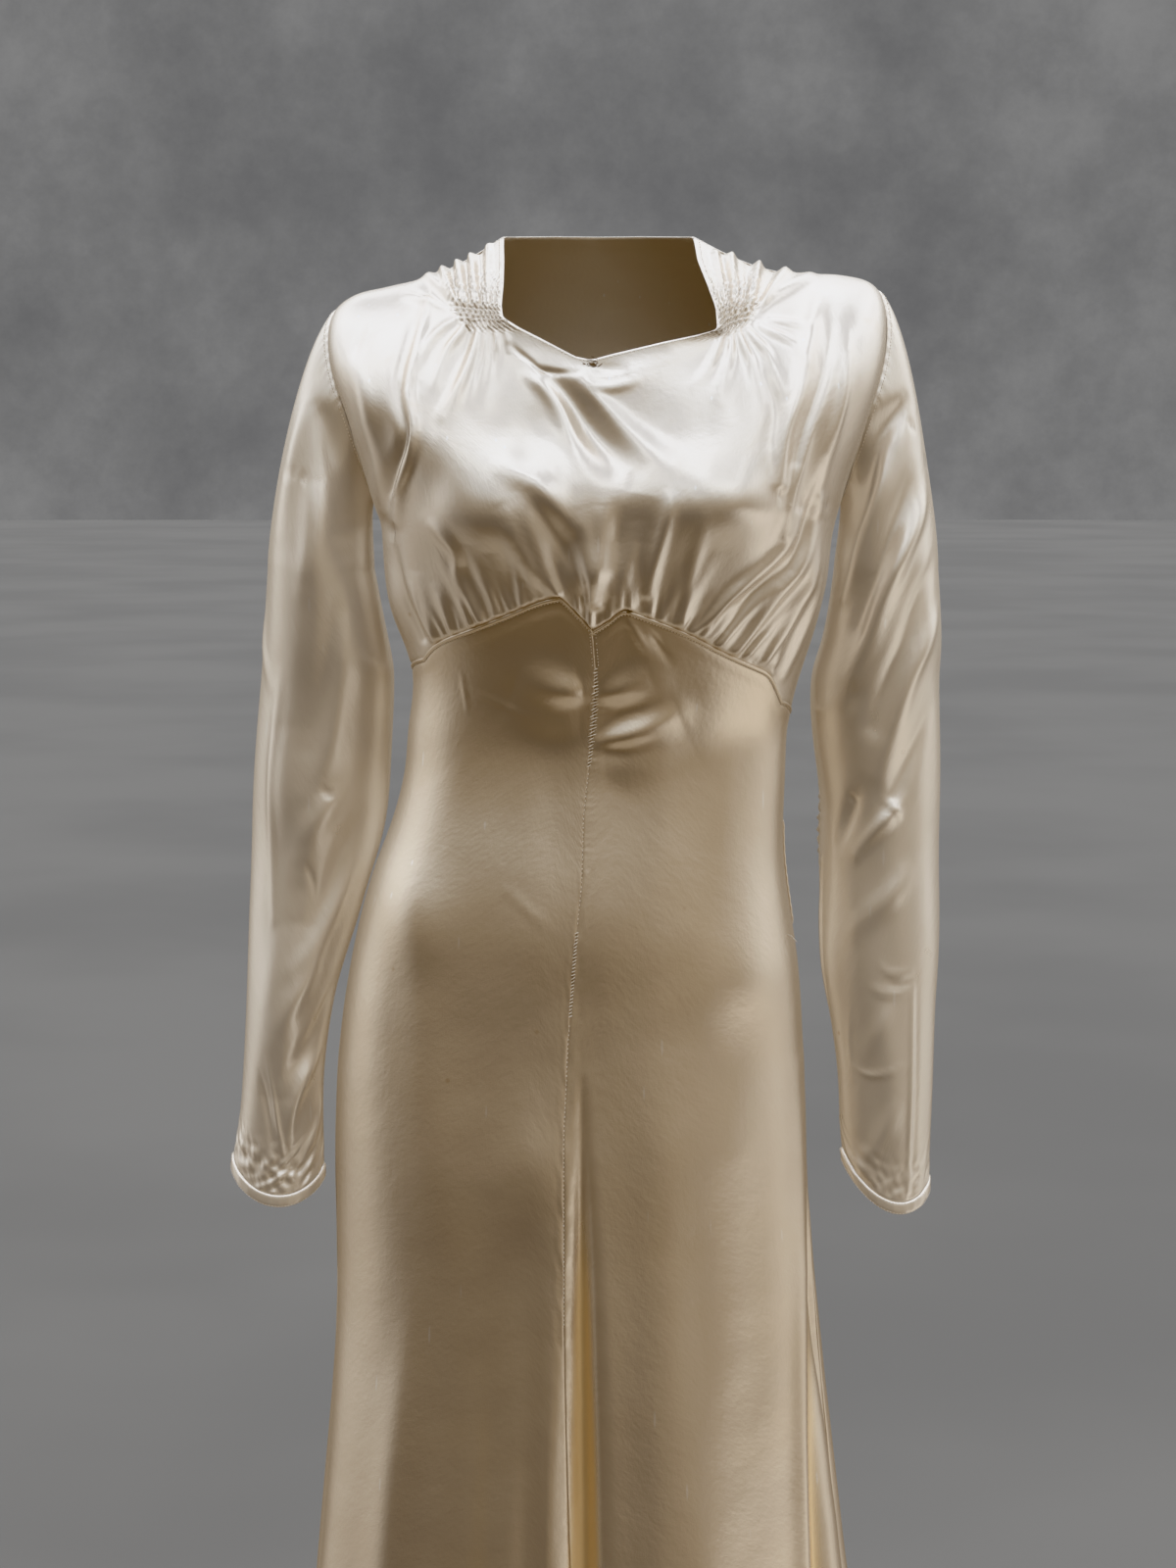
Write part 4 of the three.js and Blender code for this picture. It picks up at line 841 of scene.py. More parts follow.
def sleeve(name, plan, own_folds, looks):
    side = plan["side"]
    limb, bottom = sleeve_form(plan)
    turn = TURNS
    cap_rows = np.concatenate([[0, 0.012, 0.03], np.linspace(0.055, 1, 46)])
    limb_rows = np.concatenate([np.linspace(0, 0.8, 112)[1:], np.linspace(0.805, 0.994, 52), [0.997, 1.0]])
    start = armhole(side, turn)
    # the corners of the armhole seam eased a little
    start = start + (np.roll(start, -1, 0) + np.roll(start, 1, 0) - 2 * start) * 0.25
    top = (1 + cosd(turn)) / 2
    cap_end = ARM[0, 0]
    end = limb(turn, np.full(len(turn), cap_end))
    leave = np.stack([side * mix(*CAP["out"], top), -CAP["forward"] * sind(turn), -mix(*CAP["fall"], top)], 1)
    arrive = np.stack([0 * top, 0 * top, -mix(*CAP["arrive"], top)], 1)
    rows = []   # a curve from the armhole to the top of the arm for each column, then the arm itself
    for f in cap_rows:
        f2, f3 = f * f, f * f * f
        rows.append(start * (2 * f3 - 3 * f2 + 1) + leave * (f3 - 2 * f2 + f)
                    + end * (3 * f2 - 2 * f3) + arrive * (f3 - f2))
    for f in limb_rows:
        rows.append(limb(turn, mix(cap_end, bottom(turn) + CUFF_DEPTH, f)))
    base = np.stack(rows)
    if side > 0:
        base, turn = base[:, ::-1], turn[::-1]
    around = (np.broadcast_to(turn, base.shape[:2]) % 360) * ROUND
    z = base[..., 2]
    relief = np.zeros(z.shape)
    for rows, roll in BACK_SLEEVE_FOLDS + own_folds:
        for shift in (-360 * ROUND, 0, 360 * ROUND):
            relief += crease(around, z, [(t * ROUND + shift, down, w, h) for t, down, w, h in rows], roll)
    above, below, _, _ = distances(base)
    round_x, round_y = ARM_RADIUS * cosd(turn), ARM_RADIUS * sind(turn)
    relief += 0.5 * soft_noise(1.5 * round_x + 0.3 * z, 1.5 * round_y + 0.2 * z, 11 + side, 50)
    relief += 0.25 * np.sin(around * 1.35 + 0.6 * np.sin(around * 0.4)) * bell(above / 7) * (cosd(turn) > 0.1)
    pucker = soft_noise(round_x + 0.3 * z, z + round_y, 41 + side, 8)
    relief += plan["pucker"] * pucker * bell((below - 12) / 15) * (0.45 + 0.55 * sind(turn))
    if side > 0:
        puffs = np.sin((z + 0.08 * around) * math.pi / ELBOW["pitch"]) ** 2
        inside = bell((turn - ELBOW["turn"]) / ELBOW["wide"]) * bell((z - ELBOW["z"]) / ELBOW["tall"])
        relief += ELBOW["height"] * puffs * inside
    relief += dip(above, *SEAM) + dip(below, *WRIST)
    return shell(name, base, relief, closed=True, looks=looks)


def cuff(name, plan, looks):
    limb, bottom = sleeve_form(plan)
    turn = TURNS[::-1] if plan["side"] > 0 else TURNS
    down = np.array([0, 0.02, 0.06, 0.12, 0.2, 0.32, 0.45, 0.6, 0.74, 0.84, 0.91, 0.96, 0.99, 1.0])
    base = np.stack([limb(turn, bottom(turn) + CUFF_DEPTH * (1 - f)) for f in down])
    round_off = np.sqrt(np.clip(1 - np.abs(2 * down - 1) ** 5, 0, 1))
    relief = (round_off * 1.5)[:, None] + 0.12 * soft_noise(60 * cosd(turn), 60 * sind(turn), 31, 12)
    return shell(name, base, relief, closed=True, thick=1.2, looks=looks)


# ---- skirt ----
SKIRT_FOLDS = folds("""# x, z, half width, height
# the deep fold beside the centre seam and the soft ones across the front
-9 -556 3 -0.5, -9 -620 5 -5, -9 -700 7.5 -9, -9 -866 11 -13, -10 -1100 15 -16, -10 -1400 18 -16
-30 -660 8 0.5, -31 -760 9 2.5, -33 -866 10 4.5, -38 -1100 16 6, -46 -1400 20 7
-68 -640 12 -0.5, -74 -760 15 -3, -79 -866 17 -4, -92 -1100 24 -5, -106 -1400 30 -5.5
-118 -690 12 0.5, -128 -780 14 3, -138 -866 15 4.5, -156 -1100 20 6, -178 -1400 24 6
139 -560 5 0.5, 140 -700 6 2.5, 142 -866 7 4, 152 -1100 9 5, 168 -1400 10 6
149 -600 5 -0.5, 150 -720 6 -5, 152 -866 7 -7, 164 -1100 9 -8, 182 -1400 10 -8
60 -700 26 0.3, 66 -860 30 1.5, 74 -1100 34 3, 84 -1400 36 5
# pulls beside the seam and the waist
-8 -300 7 1.5, -22 -299 11 5.5, -50 -288 14 1
-10 -320 11 0.8, -30 -318 15 3.4, -56 -306 16 0.5
4 -303 6 1.2, 17 -299 9 4, 36 -292 11 1
4 -334 5 1.6, 24 -328 8.5 6.5, 54 -316 10 1.8
6 -350 10 0.8, 29 -346 16 2.8, 60 -331 16 0.6
22 -254 2.6 0.8, 28 -265 3.4 1.6, 35 -277 4 0.4
35 -258 2.2 -0.4, 41 -269 2.6 -1.2, 49 -281 3 -0.3
-88 -292 1.6 0.2, -86 -304 1.6 0.5, -84 -316 1.6 0.2
-86 -300 1.8 0.2, -66 -308 1.8 0.5, -44 -318 2 0.2
-60 -430 2 0.2, -46 -442 2.4 0.5, -34 -452 2 0.2
""")


def seam_x(z):
    return np.interp(-z, -CENTRE_SEAM[:, 0], CENTRE_SEAM[:, 1])


def skirt_rows():
    """How far down the skirt each row lies, closer together near the top; the last is the hem."""
    top = [0, 0.0002, 0.0004, 0.0007, 0.0011, 0.0016, 0.0021, 0.0026, 0.0031, 0.0038]
    return np.concatenate([top, np.linspace(0.005, 0.14, 76), np.linspace(0.143, 0.42, 84),
                           np.linspace(0.427, 0.995, 76), [0.9972, 0.9988, 1.0]])


def unevenness(across, z, above, seeds, narrow):
    """Long soft unevenness of the skirt, with a finer one over it."""
    broad = 0.5 * soft_noise(across * narrow, z * 0.25, seeds[0], 70) * smooth(above / 60)
    return broad + 0.12 * soft_noise(across * 1.2, z * 0.6, seeds[1], 30) * smooth(above / 30)


def skirt_panel(name, side, looks):
    u = np.unique(np.concatenate([np.linspace(0, 1, 142), [0.002, 0.004, 0.998]]))
    v = skirt_rows()
    corner = float(angle_at(seam_x(np.array(-261.0)), -261))
    top = underbust(mix(corner, side * SIDE, u)) + OVERLAP
    z = mix(top[None], HEM, v[:, None])
    from_angle = angle_at(seam_x(z[:, 0]), z[:, 0])
    from_angle = np.where(v == 0, corner, from_angle)
    angle = mix(from_angle[:, None], side * SIDE, u[None])
    if side < 0:
        angle, z = angle[:, ::-1], z[:, ::-1]
    base = cloth(angle, level_at(z))
    x = base[..., 0]
    above, below, left, right = distances(base)
    centre, flank = (left, right) if side > 0 else (right, left)
    relief = (creases(x, z, SKIRT_FOLDS) + swells(x, z)) * smooth(above / 12) * smooth(flank / 8)
    relief += unevenness(x, z, above, (17, 19), 1.7)
    pucker = 0.25 * np.sin(z * 1.5 + 1.3 * np.sin(z * 0.21)) * bell(centre / 7)
    relief += pucker * smooth(above / 10)
    relief += lap(above)
    relief += dip(centre, *SEAM) + dip(flank, *SEAM) + dip(below, *HEM_EDGE)
    # painted shade: the deep folds of the lower skirt are tinted amber
    painted_fold_shade = sunk(relief - lap(above), *SKIRT_FOLD_SHADE) * smooth((-z - FOLD_SHADE_FROM) / FOLD_SHADE_FADE)
    return shell(name, base, relief, looks=looks, painted_fold_shade=0.9 * painted_fold_shade)


BACK_SKIRT_FOLDS = folds("""# across the back as above
-62 -330 8 0.4, -70 -480 14 2.5, -84 -760 18 4, -98 -1100 20 6, -112 -1400 22 7
-20 -420 8 -0.4, -24 -640 13 -3, -32 -900 16 -6, -44 -1400 20 -8
32 -380 8 0.4, 34 -640 13 3, 38 -900 16 5, 44 -1400 20 8
84 -460 9 -0.4, 90 -700 14 -3.5, 98 -1000 16 -6, 106 -1400 20 -7
-104 -322 3 0.4, -72 -336 4 1.6, -40 -342 5 0.4
96 -336 3 0.4, 60 -351 4 1.8, 24 -358 5 0.4
-116 -420 4 0.3, -92 -444 5 1.4, -70 -462 5 0.3
112 -440 4 0.3, 88 -462 5 1.3, 64 -476 5 0.3
""")


def skirt_back(looks):
    v = skirt_rows()
    side_to_side = mix(SIDE, 270, np.linspace(0, 1, 214))
    angle = np.broadcast_to(side_to_side[None], (len(v), len(side_to_side)))
    top = back_waist(side_to_side) + OVERLAP
    z = mix(top[None], HEM, v[:, None])
    base = cloth(angle, level_at(z))
    across = back_across(angle)
    above, below, left, right = distances(base)
    relief = creases(across, z, BACK_SKIRT_FOLDS) * smooth(above / 12) * smooth(np.minimum(left, right) / 20)
    relief += unevenness(across, z, above, (23, 29), 1.5)
    relief += lap(above)
    relief += dip(left, *SEAM) + dip(right, *SEAM) + dip(below, *HEM_EDGE)
    return shell("skirt_back_satin", base, relief, looks=looks)


PLACKET = (-398, -470)


def placket(looks):
    f = spaced(60, (0.01, 0.02), both=True)
    z = mix(*PLACKET, f)[:, None]
    u = np.linspace(0, 1, 9)[None]
    base = cloth(*together(mix(SIDE + 0.3, SIDE + 4, u), level_at(z)))
    round_off = np.sqrt(np.clip(1 - np.abs(2 * u - 1) ** 4, 0, 1)) * np.sqrt(
        np.clip(1 - np.abs(2 * f[:, None] - 1) ** 12, 0, 1))
    relief = 0.9 + 1.0 * round_off + 0.15 * np.sin(z * 0.9)
    return shell("placket_satin", base, relief, step=2, looks=looks)


# ---- threads ----
THREAD_LIFT = 0.2      # of the middle of a thread above the cloth


def stitches(line, out, pitch, size, lean=0.0, fuller=1.0):
    """Stitches along a line: rows of place, direction, outward, length and thickness, in mm.

    fuller is how many times longer they are at the middle than at the ends.
    """
    far = np.concatenate([[0], np.cumsum(np.linalg.norm(np.diff(line, axis=0), axis=1))])
    at = np.arange(pitch * 0.5, far[-1], pitch)

    def along_line(values, places):
        return np.stack([np.interp(places, far, values[:, k]) for k in range(3)], -1)

    def unit(v):
        return v / np.linalg.norm(v, axis=-1, keepdims=True)

    outward = unit(along_line(out, at))
    ahead = unit(along_line(line, at + 0.6) - along_line(line, at - 0.6))
    across = np.cross(outward, ahead)
    turn = math.radians(lean)
    along = ahead * math.cos(turn) + across * math.sin(turn)
    full = mix(1.0, fuller, np.sin(math.pi * at / far[-1]))
    sizes = np.stack([size[0] * full, np.full(len(at), size[1])], -1)
    return np.concatenate([along_line(line, at) + outward * THREAD_LIFT, along, outward, sizes], 1)


def tangle(grid, normal, x, z, count, long, thick, spread):
    """A small tangle of thread ends lying on a piece."""
    flat, out = grid.reshape(-1, 3), normal.reshape(-1, 3)
    forward = 0.1 * (flat[:, 1] - flat[:, 1].min())
    k = int(np.argmin((flat[:, 0] - x) ** 2 + (flat[:, 2] - z) ** 2 + forward))
    turn = RNG.uniform(0, math.pi, count)
    aside = RNG.normal(0, spread, (count, 3)) * (1, 0.1, 0.6)
    place = flat[k] + aside + out[k] * RNG.uniform(0.2, 1.0, count)[:, None]
    along = np.stack([np.cos(turn), 0 * turn, np.sin(turn)], -1)
    sizes = np.stack([long * RNG.uniform(0.5, 1.2, count), np.full(count, thick)], -1)
    return np.concatenate([place, along, np.repeat(out[k][None], count, 0), sizes], 1)


def on_surface(grid, normal, points):
    """The places of an outer grid closest to these points, evened out, and their normals."""
    flat, out = grid.reshape(-1, 3), normal.reshape(-1, 3)
    found = [int(np.argmin(((flat - p) ** 2).sum(1))) for p in points]
    line = flat[found]
    line[1:-1] = (line[:-2] + 2 * line[1:-1] + line[2:]) / 4
    return line, out[found]


def thread_nodes():
    """Lays one short thread at each vertex, along its "along", with its "out" outwards."""
    tree = bpy.data.node_groups.new("threads", "GeometryNodeTree")
    inputs = {
        "Points": "Geometry", "Length": "Float", "Thickness": "Float", "Jitter": "Float", "Seed": "Int",
        "Thread": "Material"}
    for name, kind in inputs.items():
        tree.interface.new_socket(name, in_out="INPUT", socket_type="NodeSocket" + kind)
    tree.interface.new_socket("Threads", in_out="OUTPUT", socket_type="NodeSocketGeometry")
    s = Shader(tree)
    given = tree.nodes.new("NodeGroupInput")
    points, length, thickness, jitter, seed, thread = (Value(s, socket) for socket in given.outputs[:6])
    along, out, size = (
        s.add("GeometryNodeInputNamedAttribute", {"data_type": "FLOAT_VECTOR"}, name)
        for name in ("along", "out", "size"))
    least, most = (0.8, -1.0, 0.0), (1.15, 1.0, 0.0)
    chance = s.add("FunctionNodeRandomValue", {"data_type": "FLOAT_VECTOR"}, least, most, Seed=seed)
    long, wide, _ = s.parts(size)
    uneven, swing, _ = s.parts(chance)
    scale = s.add("ShaderNodeCombineXYZ", {}, long * length * uneven, wide * thickness, wide * thickness)
    lie = s.add("FunctionNodeAxesToRotation", {"primary_axis": "X", "secondary_axis": "Z"}, along, out)
    sideways = s.add("ShaderNodeCombineXYZ", {}, 0.0, 0.0, swing * jitter)
    swung = s.add("FunctionNodeEulerToRotation", {}, sideways)
    turned = s.add("FunctionNodeRotateRotation", {"rotation_space": "LOCAL"}, lie, swung)
    ball = s.add("GeometryNodeMeshUVSphere", {}, Segments=6, Rings=5, Radius=0.5)
    laid = s.add(
        "GeometryNodeInstanceOnPoints", {}, Points=points, Instance=ball, Rotation=turned, Scale=scale)
    real = s.add("GeometryNodeRealizeInstances", {}, laid)
    even = s.add("GeometryNodeSetShadeSmooth", {}, real)
    done = s.add("GeometryNodeSetMaterial", {}, even, Material=thread)
    end = tree.nodes.new("NodeGroupOutput")
    tree.links.new(done.socket, end.inputs[0])
    return tree


def sew(name, tree, rows, look):
    """One piece of threads from rows of stitches."""
    rows = np.concatenate(rows)
    mesh = bpy.data.meshes.new(name + "_points")
    mesh.from_pydata((rows[:, :3] * MM).tolist(), [], [])
    sizes = np.concatenate([rows[:, 9:11] * MM, np.zeros((len(rows), 1))], 1)
    for key, values in (("along", rows[:, 3:6]), ("out", rows[:, 6:9]), ("size", sizes)):
        layer = mesh.attributes.new(key, "FLOAT_VECTOR", "POINT")
        layer.data.foreach_set("vector", values.astype(np.float32).ravel())
    holder = placed(name + "_points", mesh)
    modifier = holder.modifiers.new("threads", "NODES")
    modifier.node_group = tree
    given = {"Length": 1.0, "Thickness": 1.0, "Jitter": 0.2, "Seed": 7, "Thread": look}
    for item in tree.interface.items_tree:
        if item.item_type == "SOCKET" and item.in_out == "INPUT" and item.name in given:
            modifier[item.identifier] = given[item.name]
    holder.update_tag()
    graph = bpy.context.evaluated_depsgraph_get()
    plain = bpy.data.meshes.new_from_object(
        holder.evaluated_get(graph), preserve_all_data_layers=True, depsgraph=graph)
    piece = placed(name, plain)
    holder.modifiers.remove(modifier)
    bpy.data.objects.remove(holder)
    return piece


# ---- shader maths ----
class Value:
    """A shader socket; arithmetic on it adds Math nodes."""

    def __init__(self, shader, socket):
        self.shader, self.socket = shader, socket

    def maths(self, operation, *others, first=None):
        values = [self if first is None else first, *others]
        return self.shader.add("Math", {"operation": operation}, *values)

    def __add__(self, other):
        return self.maths("ADD", other)

    def __radd__(self, other):
        return self.maths("ADD", self, first=other)

    def __sub__(self, other):
        return self.maths("SUBTRACT", other)

    def __rsub__(self, other):
        return self.maths("SUBTRACT", self, first=other)

    def __mul__(self, other):
        return self.maths("MULTIPLY", other)

    def ramp(self, low, high):
        """0 below low, 1 above high and smooth between them."""
        settings = {"interpolation_type": "SMOOTHSTEP"}
        return self.shader.add("MapRange", settings, self, From_Min=low, From_Max=high)


class Shader:
    """Adds nodes to one node tree; a kind with Node in it is a full type name."""

    def __init__(self, tree):
        self.tree = tree
        tree.nodes.clear()

    def add(self, kind, settings=None, *values, out=0, at=None, **sockets):
        """One node; settings come first, then sockets by place or by name. Its output comes back."""
        node = self.tree.nodes.new(kind if "Node" in kind else "ShaderNode" + kind)
        for key, value in (settings or {}).items():
            setattr(node, key, value)
        named = {name.replace("_", " "): value for name, value in sockets.items()}
        for place, value in [*enumerate(values), *(at or {}).items(), *named.items()]:
            socket = node.inputs[place]
            if isinstance(value, Value):
                self.tree.links.new(value.socket, socket)
            else:
                socket.default_value = (*value, 1) if socket.type == "RGBA" else value
        return Value(self, node.outputs[out]) if node.outputs else node

    def blend(self, factor, a, b):
        """Colour a where factor is 0, b where it is 1."""
        return self.add("Mix", {"data_type": "RGBA"}, factor, at={6: a, 7: b}, out=2)

    def noise(self, place, scale, detail, roughness=0.5):
        return self.add("TexNoise", {}, Vector=place, Scale=scale, Detail=detail, Roughness=roughness)

    def parts(self, vector):
        """The x, y and z of a vector."""
        return [Value(self, socket) for socket in self.add("SeparateXYZ", {}, vector).socket.node.outputs]

    def gradient(self, stops, factor):
        """The colour at a place along these stops."""
        colour = self.add("ValToRGB", {}, factor)
        ramp = colour.socket.node.color_ramp
        ramp.elements.remove(ramp.elements[-1])
        for k, (at, tone) in enumerate(stops):
            stop = ramp.elements[0] if k == 0 else ramp.elements.new(at)
            stop.position, stop.color = at, (*tone, 1)
        return colour


def new_material(name):
    material = bpy.data.materials.new(name)
    material.use_nodes = True
    return material, Shader(material.node_tree)


def satin_look(name, colour, shade, metallic, roughness):
    """Liquid satin: smooth in its folds, with a fine weave, faint stains and slubs, and a painted amber shade
    in its deep folds.
    """
    material, s = new_material(name)
    place = s.add("TexCoord", out=3)
    cloth_place = s.add("TexCoord", out=2)
    blotch = s.noise(place, 9.0, 4.0, 0.6)
    stain = s.noise(place, 38.0, 3.0, 0.55).ramp(0.62, 0.8)
    slub = s.noise(s.add("Mapping", {}, cloth_place, Scale=(2600.0, 160.0, 1.0)), 1.0, 2.0)
    fine = s.noise(cloth_place, 1500.0, 1.0)
    crinkle = s.noise(cloth_place, 85.0, 3.0, 0.55)
    pebble = s.noise(cloth_place, 330.0, 2.0)
    base = s.blend(blotch.ramp(0.35, 0.75) * 0.45, colour, shade)
    base = s.blend(stain * 0.10, base, (0.62, 0.45, 0.24))
    # Painted shade: where the cloth is sunk in deep folds it turns warm amber, standing in for light bounced
    # between the cloth there, and it is rougher too.
    painted_fold_shade = s.add("Attribute", {"attribute_name": "painted_fold_shade"}, out=2)
    base = s.blend(painted_fold_shade, base, (0.98, 0.765, 0.46))
    spot = 1.0 - s.add("TexVoronoi", {}, Vector=place, Scale=14.0).ramp(0.01, 0.032)
    base = s.blend(spot * 0.35, base, (0.58, 0.41, 0.22))
    pulled = s.add("Mapping", {}, place, Rotation=(0.2, 0.35, 0.0), Scale=(80.0, 80.0, 9.0))
    pull = 1.0 - s.add("TexVoronoi", {}, Vector=pulled, Scale=1.0).ramp(0.04, 0.08)
    base = s.blend(pull * 0.6, base, (0.99, 0.97, 0.94))
    base = s.blend(slub.ramp(0.55, 0.9) * 0.10, base, (0.95, 0.90, 0.84))
    bump = s.add("Bump", {}, Strength=0.35, Distance=0.0006, Height=crinkle)
    surface = fine * 0.55 + slub * 0.3 + pebble * 0.9
    bump = s.add("Bump", {}, Strength=0.7, Distance=0.00013, Height=surface, Normal=bump)
    rough = roughness + (blotch - 0.5) * 0.10 + stain * 0.05 + painted_fold_shade * 0.2
    shader = s.add("BsdfPrincipled", {}, Base_Color=base, Metallic=metallic, Roughness=rough, Normal=bump)
    s.add("OutputMaterial", {}, shader)
    return material


def thread_look(name, colour, shade):
    """Dull twisted thread, uneven in tone."""
    material, s = new_material(name)
    place = s.add("TexCoord", out=3)
    tone = s.noise(place, 700.0, 2.0)
    base = s.blend(tone.ramp(0.3, 0.7), colour, shade)
    bump = s.add("Bump", {}, Strength=0.4, Distance=0.0002, Height=tone)
    shader = s.add("BsdfPrincipled", {}, Base_Color=base, Roughness=0.5 + (tone - 0.5) * 0.2, Normal=bump)
    s.add("OutputMaterial", {}, shader)
    return material


# ---- camera, light and floor ----
def add_camera():
    data = bpy.data.cameras.new("camera")
    data.lens, data.sensor_width = 73.89, 36
    camera = placed("camera", data)
    camera.location = (-0.005, -2.1836, -0.1049)
    camera.rotation_euler = (math.radians(83), 0, 0)
    bpy.context.scene.camera = camera


# Brightness and warmth of the surroundings at each height: in front where it is dark and where
# it is lit, and behind, where a wall stands in daylight.
FRONT_DARK = [  # height as the sine of its angle, mapped to 0-1; red, green, blue
    (0.00, (0.50, 0.44, 0.36)), (0.07, (0.42, 0.36, 0.285)), (0.15, (0.14, 0.098, 0.054)),
    (0.32, (0.082, 0.054, 0.028)), (0.44, (0.15, 0.106, 0.058)),
    (0.52, (0.225, 0.168, 0.10)), (0.60, (0.27, 0.215, 0.145)), (0.68, (0.36, 0.315, 0.25)),
    (0.77, (0.70, 0.72, 0.73)), (0.86, (1.02, 1.09, 1.18)), (0.94, (1.22, 1.33, 1.50)),
    (1.00, (1.3, 1.42, 1.62)),
]
FRONT_LIT = [
    (0.00, (0.70, 0.65, 0.58)), (0.07, (0.62, 0.57, 0.50)), (0.15, (0.26, 0.20, 0.135)),
    (0.30, (0.18, 0.128, 0.073)), (0.44, (0.29, 0.222, 0.14)),
    (0.52, (0.37, 0.305, 0.222)), (0.60, (0.45, 0.395, 0.32)), (0.68, (0.64, 0.62, 0.59)),
    (0.77, (0.95, 0.99, 1.03)), (0.90, (1.22, 1.33, 1.50)), (1.00, (1.3, 1.42, 1.62)),
]
REAR = [
    (0.00, (0.50, 0.45, 0.38)), (0.10, (0.42, 0.37, 0.30)), (0.20, (0.20, 0.155, 0.105)),
    (0.38, (0.26, 0.205, 0.145)), (0.52, (0.42, 0.375, 0.315)), (0.62, (0.55, 0.53, 0.50)),
    (0.74, (0.90, 0.93, 0.97)), (1.00, (1.3, 1.42, 1.62)),
]
WALL = [
    (0.00, (0.40, 0.35, 0.29)), (0.35, (0.46, 0.41, 0.35)), (0.50, (0.78, 0.77, 0.75)),
    (0.65, (1.0, 1.05, 1.12)), (0.85, (1.25, 1.34, 1.50)), (1.00, (1.3, 1.42, 1.62)),
]


def add_world():
    world = bpy.data.worlds.new("studio")
    bpy.context.scene.world = world
    world.use_nodes = True
    s = Shader(world.node_tree)
    direction = s.add("TexCoord", out=0)
    x, y, z = s.parts(direction)
    height = z * 0.5 + 0.5
    tall = s.add("Mapping", {}, direction, Location=(0.4, 0.0, 0.2), Scale=(1.9, 1.9, 0.7))
    patches = s.noise(tall, 1.6, 1.5, 0.4) - 0.5
    lit = (x * 0.8 + patches * 1.5).ramp(-0.05, 0.55)
    front = s.blend(lit, s.gradient(FRONT_DARK, height), s.gradient(FRONT_LIT, height))
    glow = s.blend(y.ramp(-0.52, 0.3), front, s.gradient(WALL, height))
    glow = s.blend(y.ramp(0.5, 0.85), glow, s.gradient(REAR, height + patches * 0.16))
    clouds = s.noise(direction, 2.6, 2.0).ramp(0.46, 0.60) * height.ramp(0.66, 0.84)
    glow = s.blend(clouds * 0.74, glow, (0.46, 0.472, 0.50))
    sunlit = x.ramp(0.44, 0.90) * (1.0 - height.ramp(0.32, 0.46)) * (1.0 - y.ramp(0.1, 0.5))
    glow = s.blend(sunlit * 0.8, glow, (1.0, 0.975, 0.93))
    light = s.add("Background", {}, glow, 1.0)
    mottle = s.noise(direction, 9.0, 10.0, 0.7).ramp(0.3, 0.75)
    plain = s.add("Background", {}, s.blend(mottle, (0.17, 0.17, 0.173), (0.275, 0.274, 0.274)), 1.0)
    seen = s.add("LightPath", out=0)
    both = s.add("MixShader", {}, seen, light, plain)
    s.add("OutputWorld", {}, both)


def add_light():
    """A wide soft lamp above the front, turned to the middle of the dress."""
    data = bpy.data.lights.new("overhead", "AREA")
    data.shape, data.size, data.size_y = "RECTANGLE", 2.6, 1.2
    data.energy, data.color = 10, (1.0, 0.98, 0.97)
    lamp = placed("overhead", data)
    lamp.location = (0.1, -1.3, 1.9)
    x, y, z = np.subtract((0.1, -1.3, 1.9), (0, 0, -0.3))
    lamp.rotation_euler = (math.atan2(math.hypot(x, y), z), 0, math.atan2(y, x) + math.pi / 2)
    lamp.visible_glossy = False


def add_floor():
    mesh = bpy.data.meshes.new("floor")
    r, z = 30.0, (HEM - 2) * MM
    mesh.from_pydata([(-r, -r, z), (r, -r, z), (r, r, z), (-r, r, z)], [], [(0, 1, 2, 3)])
    material, s = new_material("floor_paint")
    place = s.add("TexCoord", out=3)
    tone = s.noise(place, 0.8, 3.0)
    base = s.blend(tone.ramp(0.3, 0.7), (0.205, 0.19, 0.17), (0.24, 0.222, 0.198))
    shader = s.add("BsdfPrincipled", {}, Base_Color=base, Roughness=0.85)
    s.add("OutputMaterial", {}, shader)
    mesh.materials.append(material)
    floor = placed("floor", mesh)
    floor.visible_glossy = False
    floor.visible_diffuse = False
    floor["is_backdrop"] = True


# ---- the dress ----
add_camera()
add_world()
add_light()
bpy.context.scene.view_settings.view_transform = "Khronos PBR Neutral"
add_floor()

satin = satin_look("satin", (0.87, 0.775, 0.65), (0.84, 0.72, 0.56), 0.7, 0.22)
# Painted light: the bodice and the sleeves take lighter, less metallic copies of the one satin, the sleeves
# the lightest, to look more brightly lit than the skirt.
lit_bodice_satin = satin_look("lit_bodice_satin", (0.90, 0.835, 0.75), (0.87, 0.785, 0.675), 0.66, 0.22)
lit_sleeve_satin = satin_look("lit_sleeve_satin", (0.93, 0.865, 0.775), (0.90, 0.815, 0.70), 0.5, 0.24)
reverse = satin_look("satin_reverse", (0.84, 0.74, 0.60), (0.80, 0.68, 0.53), 0.1, 0.5)
thread = thread_look("thread", (0.82, 0.74, 0.62), (0.97, 0.93, 0.87))
# Painted shade: the needle holes are beads of this dark brown thread; the knot and the bead are dark brown
# thread too.
dark_thread_and_hole_shade = thread_look("dark_thread_and_painted_hole_shade", (0.20, 0.125, 0.06), (0.36, 0.25, 0.14))
LOOKS, BODICE_LOOKS, SLEEVE_LOOKS = ((outside, reverse) for outside in (satin, lit_bodice_satin, lit_sleeve_satin))

